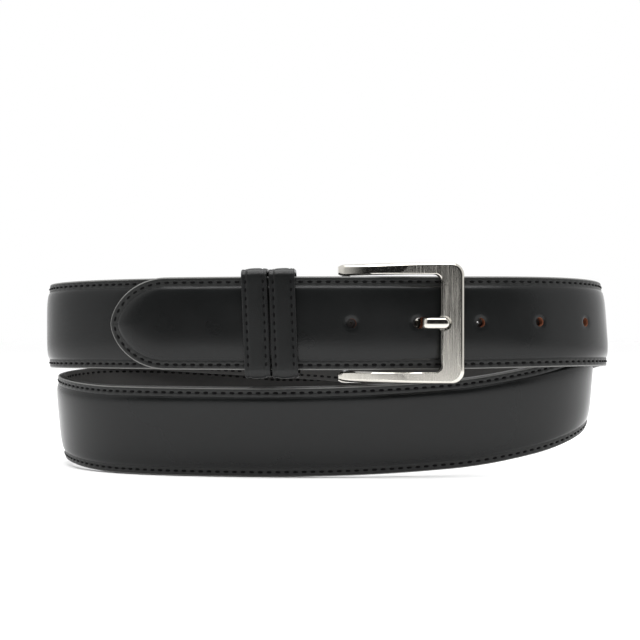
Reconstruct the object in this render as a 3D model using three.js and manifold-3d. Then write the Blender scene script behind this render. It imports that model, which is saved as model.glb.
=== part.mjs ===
// A gentleman's leather dress belt, buckled and coiled twice round so that it stands on its lower
// edge. Millimetres, +Z up, +X to the right, and the buckle faces -Y.
import * as THREE from 'three';
import { mergeVertices } from 'three/addons/utils/BufferGeometryUtils.js';
import Module from 'manifold-3d';

const wasm = await Module();
wasm.setup();

// ---- Driving dimensions -------------------------------------------------------------------------
// The coil seen from above is an oval: each quarter is a flat arc, then a curve that tightens evenly.
const OVAL = { quarter: 143, flat: 50, flatRadius: 300, steps: 400 };
// Strap section: a flat stitched margin at each edge, and a padded crown between them.
const STRAP = {
  width: 35, half: 1.5, lining: 1.0, face: 1.2, crown: 1.1, crownHalf: 10.8, marginHalf: 13.7,
};
const SEAM = 0.1;               // gap between glued layers
const PAD_GAP = 0.45;            // gap round the padding, which the twist of the strap takes up
const LAP = 4.7;                // centre of the under layer to the centre of the layer that lies on it
const TIP = { reach: 85.4, taper: 23.7 };   // tip past the front's middle, and how long it narrows
const HOLE = { first: 8.6, pitch: 24.4, count: 5, radius: 2.35, used: 1, stretched: 2.7, slot: 4.2 };
const SKIVE = { thin: 0.6, from: 4, to: 22 };   // buckle end thinned, and back to full thickness
const BAR = { at: 7, radius: 1.6, offset: 2.65, length: 43.6 };
const FLAP = 53;                // length of the strap folded back behind the heel bar
const FOLD_SLOT = { half: 3.1, length: 10.4, depth: 11 };
const BUCKLE = {
  length: 46, height: 45, windowHeight: 36.3, bar: 9, thick: 3.1, corner: 4.6, windowCorner: 2.6,
};
const NOTCH = { half: 2.75, length: 4.0, depth: 2.0 };
const PRONG = {
  width: 4.4, thick: 2.4, ring: 1.6, clearance: 0.08,
  swing: 1.85,                  // room that the shank has to lift
  seat: 0.1,                    // gap under the tip where it rests in the notch
  endGap: 0.8,                  // gap from the tip to the end of the notch
};
const KEEPER = {
  width: 9.6, half: 20.5, wall: 1.6, corner: 3.2, lean: 2.3, clearance: 0.45,
  places: { fixed: -16.4, sliding: -26.6 },   // along X from the middle of the front
  backs: { fixed: -6.5, sliding: -12.8 },     // inside of the back wall, outward from the tip layer
};
const SNAP = {
  cap: 5, stud: 4.1, socket: 4.4, knob: 1.9, shank: 1.1, head: 3.2, sides: 18,
  places: [3.2, 38.6],          // along the coil from the middle of the front
};
const STAPLE = { span: 5.4, thick: 0.5, height: 0.8, gap: 0.08 };
const THREAD = { width: 0.7, height: 0.35, inset: 2.0 };

const Q = OVAL.quarter;
const FRONT_LOW = 41.4;          // lower edge of the strap where it is buckled
// Where the strap goes: [quarter turns along the coil, offset outward, lower edge height, lean outward].
const ROUTE = [
  [-1.0, -LAP, FRONT_LOW, 0],
  [0.60, -LAP, FRONT_LOW, 0],
  [1.00, 1.3, 41.0, 0],
  [1.25, -1.2, 40.6, 0],
  [1.50, -2.8, 37.6, 0],
  [2.00, -3.4, 33.0, 0],
  [2.50, -4.6, 26.4, 1.5],
  [3.00, -5.3, 18.2, 3.5],
  [3.20, -5.9, 13.2, 5],
  [3.42, -6.6, 7.4, 7],
  [3.66, -7.0, 3.0, 9],
  [4.00, -6.8, 0.7, 10],
  [4.20, -6.6, 0.27, 10],
  [4.60, -5.5, 0.35, 8],
  [5.00, -3.4, 3.6, 4.5],
  [5.25, 0.6, 5.0, 1.5],
  [5.45, 2.4, 4.2, 0],
  [5.70, 3.0, 1.8, 0],
  [5.85, 3.2, 0.0, 0],
  [6.05, 3.2, 0.0, 0],
  [6.30, 3.2, 5.4, 9],
  [6.65, 2.4, 28.0, 1],
  [7.00, 0.8, 41.4, -4],
  [7.30, 0.0, 42.2, -3],
  [7.70, 0.0, 41.6, 0],
  [8.00, 0.0, FRONT_LOW, 0],
  [9.00, 0.0, FRONT_LOW, 0],
];

// ---- Helpers ------------------------------------------------------------------------------------
const rad = THREE.MathUtils.degToRad;
const MATERIALS = {
  leather: new THREE.MeshStandardMaterial({ color: 0x17181a, roughness: 0.42, metalness: 0 }),
  lining: new THREE.MeshStandardMaterial({ color: 0x1f1d1c, roughness: 0.75, metalness: 0 }),
  board: new THREE.MeshStandardMaterial({ color: 0x6e4a32, roughness: 0.9, metalness: 0 }),
  thread: new THREE.MeshStandardMaterial({ color: 0x0d0d0e, roughness: 0.6, metalness: 0 }),
  nickel: new THREE.MeshStandardMaterial({ color: 0xb9b5ac, roughness: 0.3, metalness: 1 }),
  steel: new THREE.MeshStandardMaterial({ color: 0x8f9092, roughness: 0.4, metalness: 1 }),
};

function named(name, geometry, material) {
  const mesh = new THREE.Mesh(geometry, MATERIALS[material]);
  mesh.name = name;
  return mesh;
}

function welded(geometry) {
  const bare = geometry.clone();
  bare.deleteAttribute('normal');
  bare.deleteAttribute('uv');
  return mergeVertices(bare, 1e-4);
}

function solid(geometry) {
  const closed = welded(geometry);
  return new wasm.Manifold(new wasm.Mesh({
    numProp: 3,
    vertProperties: new Float32Array(closed.attributes.position.array),
    triVerts: new Uint32Array(closed.index.array),
  }));
}

function geometryOf(manifold) {
  const mesh = manifold.getMesh();
  const geometry = new THREE.BufferGeometry();
  geometry.setAttribute('position', new THREE.BufferAttribute(new Float32Array(mesh.vertProperties), 3));
  geometry.setIndex(new THREE.BufferAttribute(new Uint32Array(mesh.triVerts), 1));
  return geometry;
}

function cut(geometry, tools) {
  let body = solid(geometry);
  for (const tool of tools) body = body.subtract(solid(tool));
  return geometryOf(body);
}

// A smooth curve through the stations of one column, which never overshoots between two of them.
function keyed(rows, column) {
  const x = rows.map((row) => row[0]);
  const y = rows.map((row) => row[column]);
  const rise = x.slice(1).map((value, i) => (y[i + 1] - y[i]) / (value - x[i]));
  const slope = x.map((_, i) => {
    if (i === 0 || i === x.length - 1 || rise[i - 1] * rise[i] <= 0) return 0;
    return 2 * rise[i - 1] * rise[i] / (rise[i - 1] + rise[i]);
  });
  return (at) => {
    const i = Math.max(0, Math.min(x.length - 2, x.findIndex((value) => value > at) - 1));
    const span = x[i + 1] - x[i];
    const t = (at - x[i]) / span;
    const t2 = t * t;
    const t3 = t2 * t;
    return y[i] * (2 * t3 - 3 * t2 + 1) + slope[i] * span * (t3 - 2 * t2 + t)
      + y[i + 1] * (3 * t2 - 2 * t3) + slope[i + 1] * span * (t3 - t2);
  };
}

// ---- The oval -----------------------------------------------------------------------------------
// One quarter, from the middle of the front towards the left end, as x, y and heading.
const quarterPath = (() => {
  const { flat, flatRadius, steps } = OVAL;
  const start = 1 / flatRadius;
  const end = 2 * (Math.PI / 2 - flat * start) / (Q - flat) - start;
  const step = Q / steps;
  const path = [{ x: 0, y: 0, heading: 0 }];
  for (let i = 0; i < steps; i += 1) {
    const last = path[i];
    const past = Math.max(0, (i + 0.5) * step - flat) / (Q - flat);
    const turn = (start + (end - start) * past) * step;
    const middle = last.heading + turn / 2;
    path.push({
      x: last.x + Math.cos(middle) * step,
      y: last.y + Math.sin(middle) * step,
      heading: last.heading + turn,
    });
  }
  return path;
})();
const HALF_DEPTH = quarterPath[OVAL.steps].y;

// A point of the oval, s along it leftwards from the middle of the front, with the way it runs.
function oval(s) {
  const turns = Math.floor(s / Q);
  const within = s - turns * Q;
  const quarter = ((turns % 4) + 4) % 4;
  const along = quarter % 2 === 0 ? within : Q - within;
  const place = Math.min(OVAL.steps - 1e-6, along / Q * OVAL.steps);
  const i = Math.floor(place);
  const [a, b] = [quarterPath[i], quarterPath[i + 1]];
  const part = place - i;
  const x = THREE.MathUtils.lerp(a.x, b.x, part);
  const y = THREE.MathUtils.lerp(a.y, b.y, part);
  const heading = THREE.MathUtils.lerp(a.heading, b.heading, part);
  const side = quarter < 2 ? -1 : 1;
  const face = quarter === 0 || quarter === 3 ? 1 : -1;
  const point = new THREE.Vector3(side * x, face * (y - HALF_DEPTH), 0);
  const outward = new THREE.Vector3(side * Math.sin(heading), -face * Math.cos(heading), 0);
  return { point, outward };
}

// ---- The strap's route --------------------------------------------------------------------------
const offsetAt = keyed(ROUTE, 1);
const heightAt = keyed(ROUTE, 2);
const leanAt = keyed(ROUTE, 3);
const HALF_WIDTH = STRAP.width / 2;
const UP = new THREE.Vector3(0, 0, 1);
const FRONT_HEIGHT = FRONT_LOW + HALF_WIDTH;   // centre line of the strap at the buckle

function centre(s) {
  const { point, outward } = oval(s);
  const turns = s / Q;
  const lift = heightAt(turns) + HALF_WIDTH * Math.cos(rad(leanAt(turns)));
  return point.addScaledVector(outward, offsetAt(turns)).setZ(lift);
}

// Place, outward normal and width direction of the strap, s along the coil from the front's middle.
function coilFrame(s) {
  const tangent = centre(s + 0.5).sub(centre(s - 0.5)).normalize();
  const flatUp = UP.clone().addScaledVector(tangent, -UP.dot(tangent)).normalize();
  const flatOut = flatUp.clone().cross(tangent);
  const lean = rad(leanAt(s / Q));
  const up = flatUp.clone().multiplyScalar(Math.cos(lean)).addScaledVector(flatOut, Math.sin(lean));
  const out = flatOut.multiplyScalar(Math.cos(lean)).addScaledVector(flatUp, -Math.sin(lean));
  return { point: centre(s), out, up };
}

const barCentre = (() => {
  const { point, outward } = oval(-BAR.at);
  return point.addScaledVector(outward, -LAP - BAR.offset).setZ(FRONT_HEIGHT);
})();
const FOLD = Math.PI * BAR.offset;

// The same for the whole strap, q from the end of the folded flap to the tip.
function strapFrame(q) {
  if (q > FLAP + FOLD) return coilFrame(q - FLAP - FOLD - BAR.at);
  if (q < FLAP) {
    const { point, outward } = oval(FLAP - q - BAR.at);
    point.addScaledVector(outward, -LAP - 2 * BAR.offset).setZ(FRONT_HEIGHT);
    return { point, out: outward.negate(), up: UP.clone() };
  }
  const turn = (q - FLAP) / BAR.offset;
  const { outward } = oval(-BAR.at);
  const along = outward.clone().cross(UP).negate();
  const out = outward.multiplyScalar(-Math.cos(turn)).addScaledVector(along, Math.sin(turn));
  return { point: barCentre.clone().addScaledVector(out, BAR.offset), out, up: UP.clone() };
}

const COIL_START = FLAP + FOLD + BAR.at;          // q at the middle of the front, under layer
const TIP_END = COIL_START + 8 * Q + TIP.reach;

// Stations along the strap: close together round the heel bar and at the tip.
const stations = (() => {
  const list = [];
  const run = (from, to, count) => {
    for (let i = 0; i < count; i += 1) list.push(from + (to - from) * i / count);
  };
  run(0, FLAP, 5);
  run(FLAP, FLAP + FOLD, 8);
  run(FLAP + FOLD, COIL_START + Q / 2, 8);
  for (let half = 1; half < 16; half += 1) {
    const roundAnEnd = half % 4 === 1 || half % 4 === 2;
    run(COIL_START + half * Q / 2, COIL_START + (half + 1) * Q / 2, roundAnEnd ? 10 : 6);
  }
  run(COIL_START + 8 * Q, TIP_END - TIP.taper, 5);
  for (let i = 0; i < 8; i += 1) list.push(TIP_END - TIP.taper * (1 - Math.sin(i / 8 * Math.PI / 2)));
  list.push(TIP_END - 0.15);
  return list;
})();

function thickness(q) {
  const s = q - COIL_START;
  return THREE.MathUtils.lerp(SKIVE.thin, 1, THREE.MathUtils.smoothstep(s, SKIVE.from, SKIVE.to));
}

function crown(q) {
  const s = q - COIL_START;
  return THREE.MathUtils.smoothstep(s, SKIVE.from, SKIVE.to);
}

function widthPart(q) {
  const left = (TIP_END - q) / TIP.taper;
  if (left >= 1) return 1;
  return (1 - (1 - left) ** 2) ** 0.6;
}

// Bends a straight bar, drawn across (width, thickness), along the route between two stations.
function bent(outline, first = 0, last = stations.length - 1, crowned = true) {
  const steps = last - first;
  const settings = { depth: steps, steps, bevelEnabled: false };
  const flat = new THREE.ExtrudeGeometry(new THREE.Shape(outline), settings);
  const bar = welded(flat);
  const position = bar.attributes.position;
  for (let i = 0; i < position.count; i += 1) {
    const q = stations[first + Math.round(position.getZ(i))];
    const across = -position.getX(i) * widthPart(q);   // the width runs up, the bar's X down
    const depth = position.getY(i);
    const raised = crowned && depth > STRAP.half ? (depth - STRAP.half) * crown(q) : 0;
    const above = Math.min(depth, crowned ? STRAP.half : depth) * thickness(q) + raised;
    const { point, out, up } = strapFrame(q);
    point.addScaledVector(up, across).addScaledVector(out, above);
    position.setXYZ(i, point.x, point.y, point.z);
  }
  return bar;
}

const mirrored = (points) => [
  ...points.map(([x, y]) => new THREE.Vector2(x, y)),
  ...points.toReversed().map(([x, y]) => new THREE.Vector2(-x, y)),
];

// ---- Tools that cut the strap -------------------------------------------------------------------
function pin(frame, radius, from, to, sides = 16) {
  const geometry = new THREE.CylinderGeometry(radius, radius, to - from, sides);
  const turn = new THREE.Quaternion().setFromUnitVectors(UP.clone().set(0, 1, 0), frame.out);
  geometry.applyQuaternion(turn);
  const middle = frame.point.clone().addScaledVector(frame.out, (from + to) / 2);
  return geometry.translate(middle.x, middle.y, middle.z);
}

const HOLE_REACH = 3.1;
const holeTools = [];
for (let i = 0; i < HOLE.count; i += 1) {
  const s = 8 * Q - HOLE.first - i * HOLE.pitch;
  const shifts = i === HOLE.used ? [0, HOLE.slot / 2, HOLE.slot] : [0];
  const radius = i === HOLE.used ? HOLE.stretched : HOLE.radius;
  for (const shift of shifts) {
    holeTools.push(pin(coilFrame(s - shift), radius, -HOLE_REACH, HOLE_REACH));
  }
}

function foldSlotTool() {
  const geometry = new THREE.BoxGeometry(FOLD_SLOT.length, FOLD_SLOT.depth, 2 * FOLD_SLOT.half);
  const { outward } = oval(-BAR.at);
  geometry.rotateZ(Math.atan2(outward.x, -outward.y));
  return geometry.translate(barCentre.x, barCentre.y, barCentre.z);
}

// ---- Snap fasteners that close the fold ------------------------------------------------------------
const SNAP_GAP = 0.08;          // running gap round a shank
const SEAT_GAP = 0.25;          // gap under a flat seat on the curved strap
const FLAP_DROP = 2 * BAR.offset;           // centre of the strap to the centre of the flap behind it
const FLAP_HALF = STRAP.half * SKIVE.thin;

// A turned piece from its half profile, [radius, height] with height outward along the frame's normal.
function turned(frame, profile) {
  const points = [...profile, profile[0]].map(([x, y]) => new THREE.Vector2(x, y));
  const geometry = new THREE.LatheGeometry(points, SNAP.sides);
  geometry.applyQuaternion(new THREE.Quaternion().setFromUnitVectors(new THREE.Vector3(0, 1, 0), frame.out));
  return geometry.translate(frame.point.x, frame.point.y, frame.point.z);
}

function snapFastener(index, s) {
  const frame = coilFrame(s);
  const half = STRAP.half * thickness(s + COIL_START);
  const flapTop = FLAP_HALF - FLAP_DROP;
  const flapBack = -FLAP_HALF - FLAP_DROP;
  const bore = SNAP.shank + SNAP_GAP;
  const knobEnd = flapTop + 0.9;
  const capShank = SNAP.shank + 0.4;
  const under = -half - SEAT_GAP;
  const back = flapBack - SEAT_GAP;
  const profiles = {
    post: [
      [0, 0.5], [SNAP.head, 0.5], [SNAP.head, 0.15], [SNAP.shank, 0.05],
      [SNAP.shank, knobEnd + 0.2], [0, knobEnd + 0.2],
    ],
    stud: [
      [bore, under], [SNAP.stud, under], [SNAP.stud, under - 0.4], [SNAP.knob, under - 0.5],
      [SNAP.knob, knobEnd], [bore, knobEnd],
    ],
    socket: [
      [SNAP.knob + 0.15, flapTop + 1.6], [SNAP.socket - 0.4, flapTop + 1.6], [SNAP.socket, flapTop + 1.2],
      [SNAP.socket, flapTop + SEAT_GAP], [SNAP.knob + 0.15, flapTop + SEAT_GAP],
    ],
    cap: [
      [0, flapTop + 0.4], [capShank, flapTop + 0.4], [capShank, back],
      [SNAP.cap, back], [SNAP.cap, back - 0.3], [SNAP.cap - 1.2, back - 0.8], [0, back - 1],
    ],
  };
  const parts = Object.entries(profiles).map(([piece, profile]) => {
    const material = piece === 'post' ? 'steel' : 'nickel';
    return named(`snap_${index + 1}_${piece}`, turned(frame, profile.toReversed()), material);
  });
  const tools = [
    pin(frame, SNAP.head + SEAT_GAP, 0.15 - SEAT_GAP, 0.5 + SEAT_GAP, SNAP.sides),
    pin(frame, bore, -half - 1, 0.2, SNAP.sides),
    pin(frame, capShank + SNAP_GAP, flapBack - 0.5, flapTop + 0.5, SNAP.sides),
  ];
  return { parts, tools };
}

// ---- Strap layers -------------------------------------------------------------------------------
function strapLayers(snapTools) {
  const h = STRAP.half;
  const under = -h + STRAP.lining;
  const crownTop = h + STRAP.crown;
  const crownEnd = STRAP.crownHalf - 1.6;
  const faceOutline = mirrored([
    [crownEnd, crownTop], [STRAP.marginHalf, h], [HALF_WIDTH, h],
    [HALF_WIDTH, under + SEAM], [STRAP.marginHalf, under + SEAM], [crownEnd, crownTop - STRAP.face],
  ]);
  const padOutline = mirrored([
    [crownEnd - 0.3, crownTop - STRAP.face - PAD_GAP],
    [STRAP.marginHalf - 1.6, under + PAD_GAP + 0.2], [STRAP.marginHalf - 1.6, under + PAD_GAP],
  ]);
  const liningOutline = mirrored([[HALF_WIDTH - 0.15, under], [HALF_WIDTH - 0.15, -h]]);
  const padFirst = stations.findIndex((q) => q > COIL_START + SKIVE.to);
  const padLast = stations.findIndex((q) => q > TIP_END - TIP.taper * 0.35);
  const padCuts = [...holeTools, ...snapTools];
  const cuts = [...padCuts, foldSlotTool()];
  return [
    named('strap_face', cut(bent(faceOutline), cuts), 'leather'),
    named('strap_padding', cut(bent(padOutline, padFirst, padLast, false), padCuts), 'board'),
    named('strap_lining', cut(bent(liningOutline), cuts), 'lining'),
  ];
}

// One run of needle thread along a stitched margin, lying on the face or on the lining.
function threadRun(name, side, onFace) {
  const middle = -side * (HALF_WIDTH - THREAD.inset);
  const low = onFace ? STRAP.half + SEAM : -STRAP.half - SEAM - THREAD.height;
  const corners = [[-1, 0], [1, 0], [0, 1]].map(([x, y]) => (
    new THREE.Vector2(middle + x * THREAD.width / 2, low + y * THREAD.height)
  ));
  const first = stations.findIndex((q) => q > COIL_START + SKIVE.to);
  return named(name, bent(corners, first, stations.length - 2, false), 'thread');
}

// ---- Buckle, drawn about the heel bar: +X towards the front bar, -Y outward ------------------------
const ARM_END = 3;              // how far the arms reach behind the heel bar
const FACE_RISE = LAP + BAR.offset + STRAP.half + STRAP.crown;   // heel bar's axis to the strap's face
const FRONT_BAR = { back: FACE_RISE + 0.6, end: BUCKLE.length - ARM_END };
const BUCKLE_TURN = Math.asin((BAR.at + 0.45 * FRONT_BAR.end) / OVAL.flatRadius);

// Shape in plan of the frame's thickness: flat over the front bar, falling to the heel bar.
function framePlan() {
  const shape = new THREE.Shape();
  const front = -FRONT_BAR.back - BUCKLE.thick;
  const bend = FRONT_BAR.end - BUCKLE.bar;
  shape.moveTo(FRONT_BAR.end, -FRONT_BAR.back);
  shape.lineTo(FRONT_BAR.end, front + 0.8);
  shape.lineTo(FRONT_BAR.end - 0.8, front);
  shape.lineTo(bend, front);
  shape.bezierCurveTo(bend - 14, front, 10, front + 2.5, -ARM_END + 1.5, -ARM_END + 0.2);
  shape.lineTo(-ARM_END, -ARM_END + 2);
  shape.lineTo(-ARM_END, ARM_END - 1.2);
  shape.lineTo(-ARM_END + 1.2, ARM_END);
  shape.lineTo(ARM_END - 0.5, ARM_END);
  shape.bezierCurveTo(9, -1.5, bend - 12, -FRONT_BAR.back, bend, -FRONT_BAR.back);
  return shape;
}

function roundedRectangle(left, right, half, radius) {
  const shape = new THREE.Shape();
  shape.moveTo(left + radius, -half);
  shape.absarc(right - radius, -half + radius, radius, -Math.PI / 2, 0);
  shape.absarc(right - radius, half - radius, radius, 0, Math.PI / 2);
  shape.absarc(left + radius, half - radius, radius, Math.PI / 2, Math.PI);
  shape.absarc(left + radius, -half + radius, radius, Math.PI, 1.5 * Math.PI);
  return shape;
}

// A plan shape raised along Z, centred on the strap's middle height.
function raised(shape, height, curveSegments = 6) {
  return new THREE.ExtrudeGeometry(shape, { depth: height, bevelEnabled: false, curveSegments })
    .translate(0, 0, -height / 2);
}

// A shape seen from the front, X and height, run through the whole depth of the buckle.
function through(shape, from, to, curveSegments = 4) {
  return new THREE.ExtrudeGeometry(shape, { depth: to - from, bevelEnabled: false, curveSegments })
    .rotateX(Math.PI / 2).translate(0, to, 0);
}

function barBlank(radius, length, sides = 20) {
  return new THREE.CylinderGeometry(radius, radius, length, sides).rotateX(Math.PI / 2);
}

function buckleParts() {
  const plate = solid(raised(framePlan(), BUCKLE.height));
  const outlineShape = roundedRectangle(-ARM_END - 1, FRONT_BAR.end, BUCKLE.height / 2, BUCKLE.corner);
  const outline = solid(through(outlineShape, -20, 10));
  const windowShape = roundedRectangle(
    -3 * ARM_END, FRONT_BAR.end - BUCKLE.bar, BUCKLE.windowHeight / 2, BUCKLE.windowCorner);
  const window = solid(through(windowShape, -20, 10));
  const bore = solid(barBlank(BAR.radius + PRONG.clearance, BAR.length + 0.2));
  const front = -FRONT_BAR.back - BUCKLE.thick;
  const notch = solid(new THREE.BoxGeometry(2 * NOTCH.length, 2 * NOTCH.depth, 2 * NOTCH.half)
    .translate(FRONT_BAR.end - BUCKLE.bar, front, 0));
  const frame = plate.intersect(outline).subtract(window).subtract(bore).subtract(notch);
  return [
    named('buckle_frame', geometryOf(frame), 'nickel'),
    named('heel_bar', barBlank(BAR.radius, BAR.length), 'steel'),
    named('prong', prongGeometry(front), 'nickel'),
  ];
}

// The prong: a ring round the heel bar, a shank behind the strap, a rise through the hole and a flat end.
function prongGeometry(front) {
  const inner = BAR.radius + PRONG.clearance;
  const ring = inner + PRONG.ring;
  const rest = -front - NOTCH.depth + PRONG.seat;
  const shank = FACE_RISE - STRAP.crown - 2 * STRAP.half - PRONG.swing;
  const hole = HOLE.first + HOLE.pitch - BAR.at;
  const reach = FRONT_BAR.end - BUCKLE.bar + NOTCH.length - PRONG.endGap;
  const shape = new THREE.Shape();
  shape.absarc(0, 0, ring, rad(-75), rad(-330), true);
  shape.lineTo(9, -shank + PRONG.thick);
  shape.lineTo(hole + 2.0, -shank + PRONG.thick);
  shape.quadraticCurveTo(hole + 2.9, -shank + PRONG.thick, hole + 3.4, -shank);
  shape.lineTo(hole + 5.4, -rest + 0.9);
  shape.quadraticCurveTo(hole + 5.7, -rest, hole + 6.6, -rest);
  shape.lineTo(reach - 0.5, -rest);
  shape.lineTo(reach, -rest - 0.6);
  shape.lineTo(reach, -rest - PRONG.thick + 0.8);
  shape.lineTo(reach - 0.9, -rest - PRONG.thick);
  shape.lineTo(hole + 4.4, -rest - PRONG.thick);
  shape.quadraticCurveTo(hole + 3.4, -rest - PRONG.thick, hole + 2.9, -rest - 1.2);
  shape.lineTo(hole + 0.6, -shank - 0.6);
  shape.quadraticCurveTo(hole + 0.4, -shank, hole - 0.6, -shank);
  shape.lineTo(9, -shank);
  const opening = new THREE.Path();
  opening.absarc(0, 0, inner, 0, 2 * Math.PI);
  shape.holes.push(opening);
  return raised(shape, PRONG.width, 10);
}

// ---- Keepers: leather loops round the strap --------------------------------------------------------
function keeper(name, x, back) {
  const front = STRAP.half + STRAP.crown + KEEPER.clearance;
  const wall = KEEPER.wall;
  const outer = roundedRectangle(-front - wall, -back + wall, KEEPER.half, KEEPER.corner);
  outer.holes.push(roundedRectangle(-front, -back, KEEPER.half - wall, KEEPER.corner - wall));
  const settings = { depth: KEEPER.width, bevelEnabled: false, curveSegments: 5 };
  const loop = new THREE.ExtrudeGeometry(outer, settings).translate(0, 0, -KEEPER.width / 2);
  loop.applyMatrix4(new THREE.Matrix4().set(0, 0, 1, 0, 1, 0, 0, 0, 0, 1, 0, 0, 0, 0, 0, 1));
  const holder = new THREE.Group();
  const place = oval(8 * Q - x);
  holder.position.copy(place.point).setZ(FRONT_HEIGHT);
  holder.rotation.set(0, rad(-KEEPER.lean), Math.atan2(place.outward.x, -place.outward.y), 'ZYX');
  const staple = new THREE.BoxGeometry(STAPLE.span, STAPLE.thick, STAPLE.height)
    .translate(0, -back + wall + STAPLE.thick / 2 + STAPLE.gap, 0);
  holder.add(named(`${name}_keeper`, loop, 'leather'), named(`${name}_keeper_staple`, staple, 'steel'));
  return holder;
}

// ---- The whole belt --------------------------------------------------------------------------------
const snaps = SNAP.places.map((s, index) => snapFastener(index, s));
const buckle = new THREE.Group();
buckle.position.copy(barCentre);
buckle.rotation.z = BUCKLE_TURN;
buckle.add(...buckleParts());

const coil = new THREE.Group();
coil.add(
  ...strapLayers(snaps.flatMap((snap) => snap.tools)),
  threadRun('face_thread_upper', 1, true),
  threadRun('face_thread_lower', -1, true),
  threadRun('back_thread_upper', 1, false),
  threadRun('back_thread_lower', -1, false),
  ...snaps.flatMap((snap) => snap.parts),
  keeper('fixed', KEEPER.places.fixed, KEEPER.backs.fixed),
  keeper('sliding', KEEPER.places.sliding, KEEPER.backs.sliding),
  buckle,
);

// The origin is the middle of the footprint, on the surface that the belt stands on.
coil.updateMatrixWorld(true);
const extent = new THREE.Box3().setFromObject(coil, true);
const middle = extent.getCenter(new THREE.Vector3());
coil.position.set(-middle.x, -middle.y, -extent.min.z);

const belt = new THREE.Group();
belt.add(coil);

export default belt;
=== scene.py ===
"""A gentleman's leather dress belt, buckled and coiled twice round on its edge, modelled round its frame."""

import math

import bpy
import numpy as np
from bpy.props import FloatProperty, FloatVectorProperty, PointerProperty
from mathutils import Matrix, Vector


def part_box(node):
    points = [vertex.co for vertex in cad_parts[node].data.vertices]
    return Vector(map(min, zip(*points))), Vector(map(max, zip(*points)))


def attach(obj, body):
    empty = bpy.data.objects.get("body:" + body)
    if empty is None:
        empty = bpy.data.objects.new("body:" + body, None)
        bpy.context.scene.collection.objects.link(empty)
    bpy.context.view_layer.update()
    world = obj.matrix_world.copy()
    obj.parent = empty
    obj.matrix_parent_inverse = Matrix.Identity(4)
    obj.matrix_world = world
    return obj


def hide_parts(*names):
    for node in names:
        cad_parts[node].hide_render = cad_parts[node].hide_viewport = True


bl_info = {
    "name": "Leather Belt Maker",
    "version": (1, 0, 0),
    "blender": (4, 5, 0),
    "location": "View3D > Sidebar > Belt",
    "description": "Makes a coiled leather dress belt with its buckle, keepers and stitching",
    "category": "Object",
}

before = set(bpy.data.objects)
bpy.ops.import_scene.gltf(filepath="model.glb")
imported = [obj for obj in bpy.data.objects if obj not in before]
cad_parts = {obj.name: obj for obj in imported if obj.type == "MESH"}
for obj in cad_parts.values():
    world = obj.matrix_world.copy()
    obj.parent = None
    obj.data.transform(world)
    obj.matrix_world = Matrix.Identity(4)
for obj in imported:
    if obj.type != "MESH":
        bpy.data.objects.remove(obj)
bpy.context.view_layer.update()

MM = 0.001
# The frame's own sizes, in millimetres, repeated from the model so that every layer lies where it does there.
QUARTER, FLAT, FLAT_RADIUS, OVAL_STEPS = 143, 50, 300, 400
HALF_WIDTH = 17.5
EDGE_HALF = 1.5                 # half the thickness of the stitched margin
SPLIT = -0.5                    # where face and lining meet, from the middle of the thickness
CROWN = 1.1                     # how far the padded middle stands above the margin
MARGIN = 3.6                    # width of the stitched margin
LAP = 4.7                       # from the under layer to the layer that lies on it
TIP_REACH, TIP_TAPER = 85.4, 23.7
HOLE_FIRST, HOLE_PITCH, HOLE_COUNT, HOLE_USED = 8.6, 24.4, 5, 1
SKIVE_THIN, SKIVE_FROM, SKIVE_TO = 0.6, 4, 22
BAR_AT, BAR_RADIUS, BAR_OFFSET = 7, 1.6, 2.65
FLAP = 53
FRONT_LOW = 41.4
# [quarter turns along the coil, offset outward, lower edge height, lean outward in degrees]
ROUTE = [
    (-1.0, -LAP, FRONT_LOW, 0),
    (0.60, -LAP, FRONT_LOW, 0),
    (1.00, 1.3, 41.0, 0),
    (1.25, -1.2, 40.6, 0),
    (1.50, -2.8, 37.6, 0),
    (2.00, -3.4, 33.0, 0),
    (2.50, -4.6, 26.4, 1.5),
    (3.00, -5.3, 18.2, 3.5),
    (3.20, -5.9, 13.2, 5),
    (3.42, -6.6, 7.4, 7),
    (3.66, -7.0, 3.0, 9),
    (4.00, -6.8, 0.7, 10),
    (4.20, -6.6, 0.27, 10),
    (4.60, -5.5, 0.35, 8),
    (5.00, -3.4, 3.6, 4.5),
    (5.25, 0.6, 5.0, 1.5),
    (5.45, 2.4, 4.2, 0),
    (5.70, 3.0, 1.8, 0),
    (5.85, 3.2, 0.0, 0),
    (6.05, 3.2, 0.0, 0),
    (6.30, 3.2, 5.4, 9),
    (6.65, 2.4, 28.0, 1),
    (7.00, 0.8, 41.4, -4),
    (7.30, 0.0, 42.2, -3),
    (7.70, 0.0, 41.6, 0),
    (8.00, 0.0, FRONT_LOW, 0),
    (9.00, 0.0, FRONT_LOW, 0),
]


# ---- The route of the strap -----------------------------------------------------------------------
def keyed(rows, column):
    """A smooth curve through one column of the stations, which never overshoots between two of them."""
    xs = [row[0] for row in rows]
    ys = [row[column] for row in rows]
    rise = [(ys[i + 1] - ys[i]) / (xs[i + 1] - xs[i]) for i in range(len(xs) - 1)]
    slope = [0.0] * len(xs)
    for i in range(1, len(xs) - 1):
        if rise[i - 1] * rise[i] > 0:
            slope[i] = 2 * rise[i - 1] * rise[i] / (rise[i - 1] + rise[i])

    def value(at):
        i = min(len(xs) - 2, max(0, sum(x <= at for x in xs) - 1))
        span = xs[i + 1] - xs[i]
        t = (at - xs[i]) / span
        rest = ys[i] * (2 * t**3 - 3 * t**2 + 1) + slope[i] * span * (t**3 - 2 * t**2 + t)
        return rest + ys[i + 1] * (3 * t**2 - 2 * t**3) + slope[i + 1] * span * (t**3 - t**2)

    return value


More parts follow.
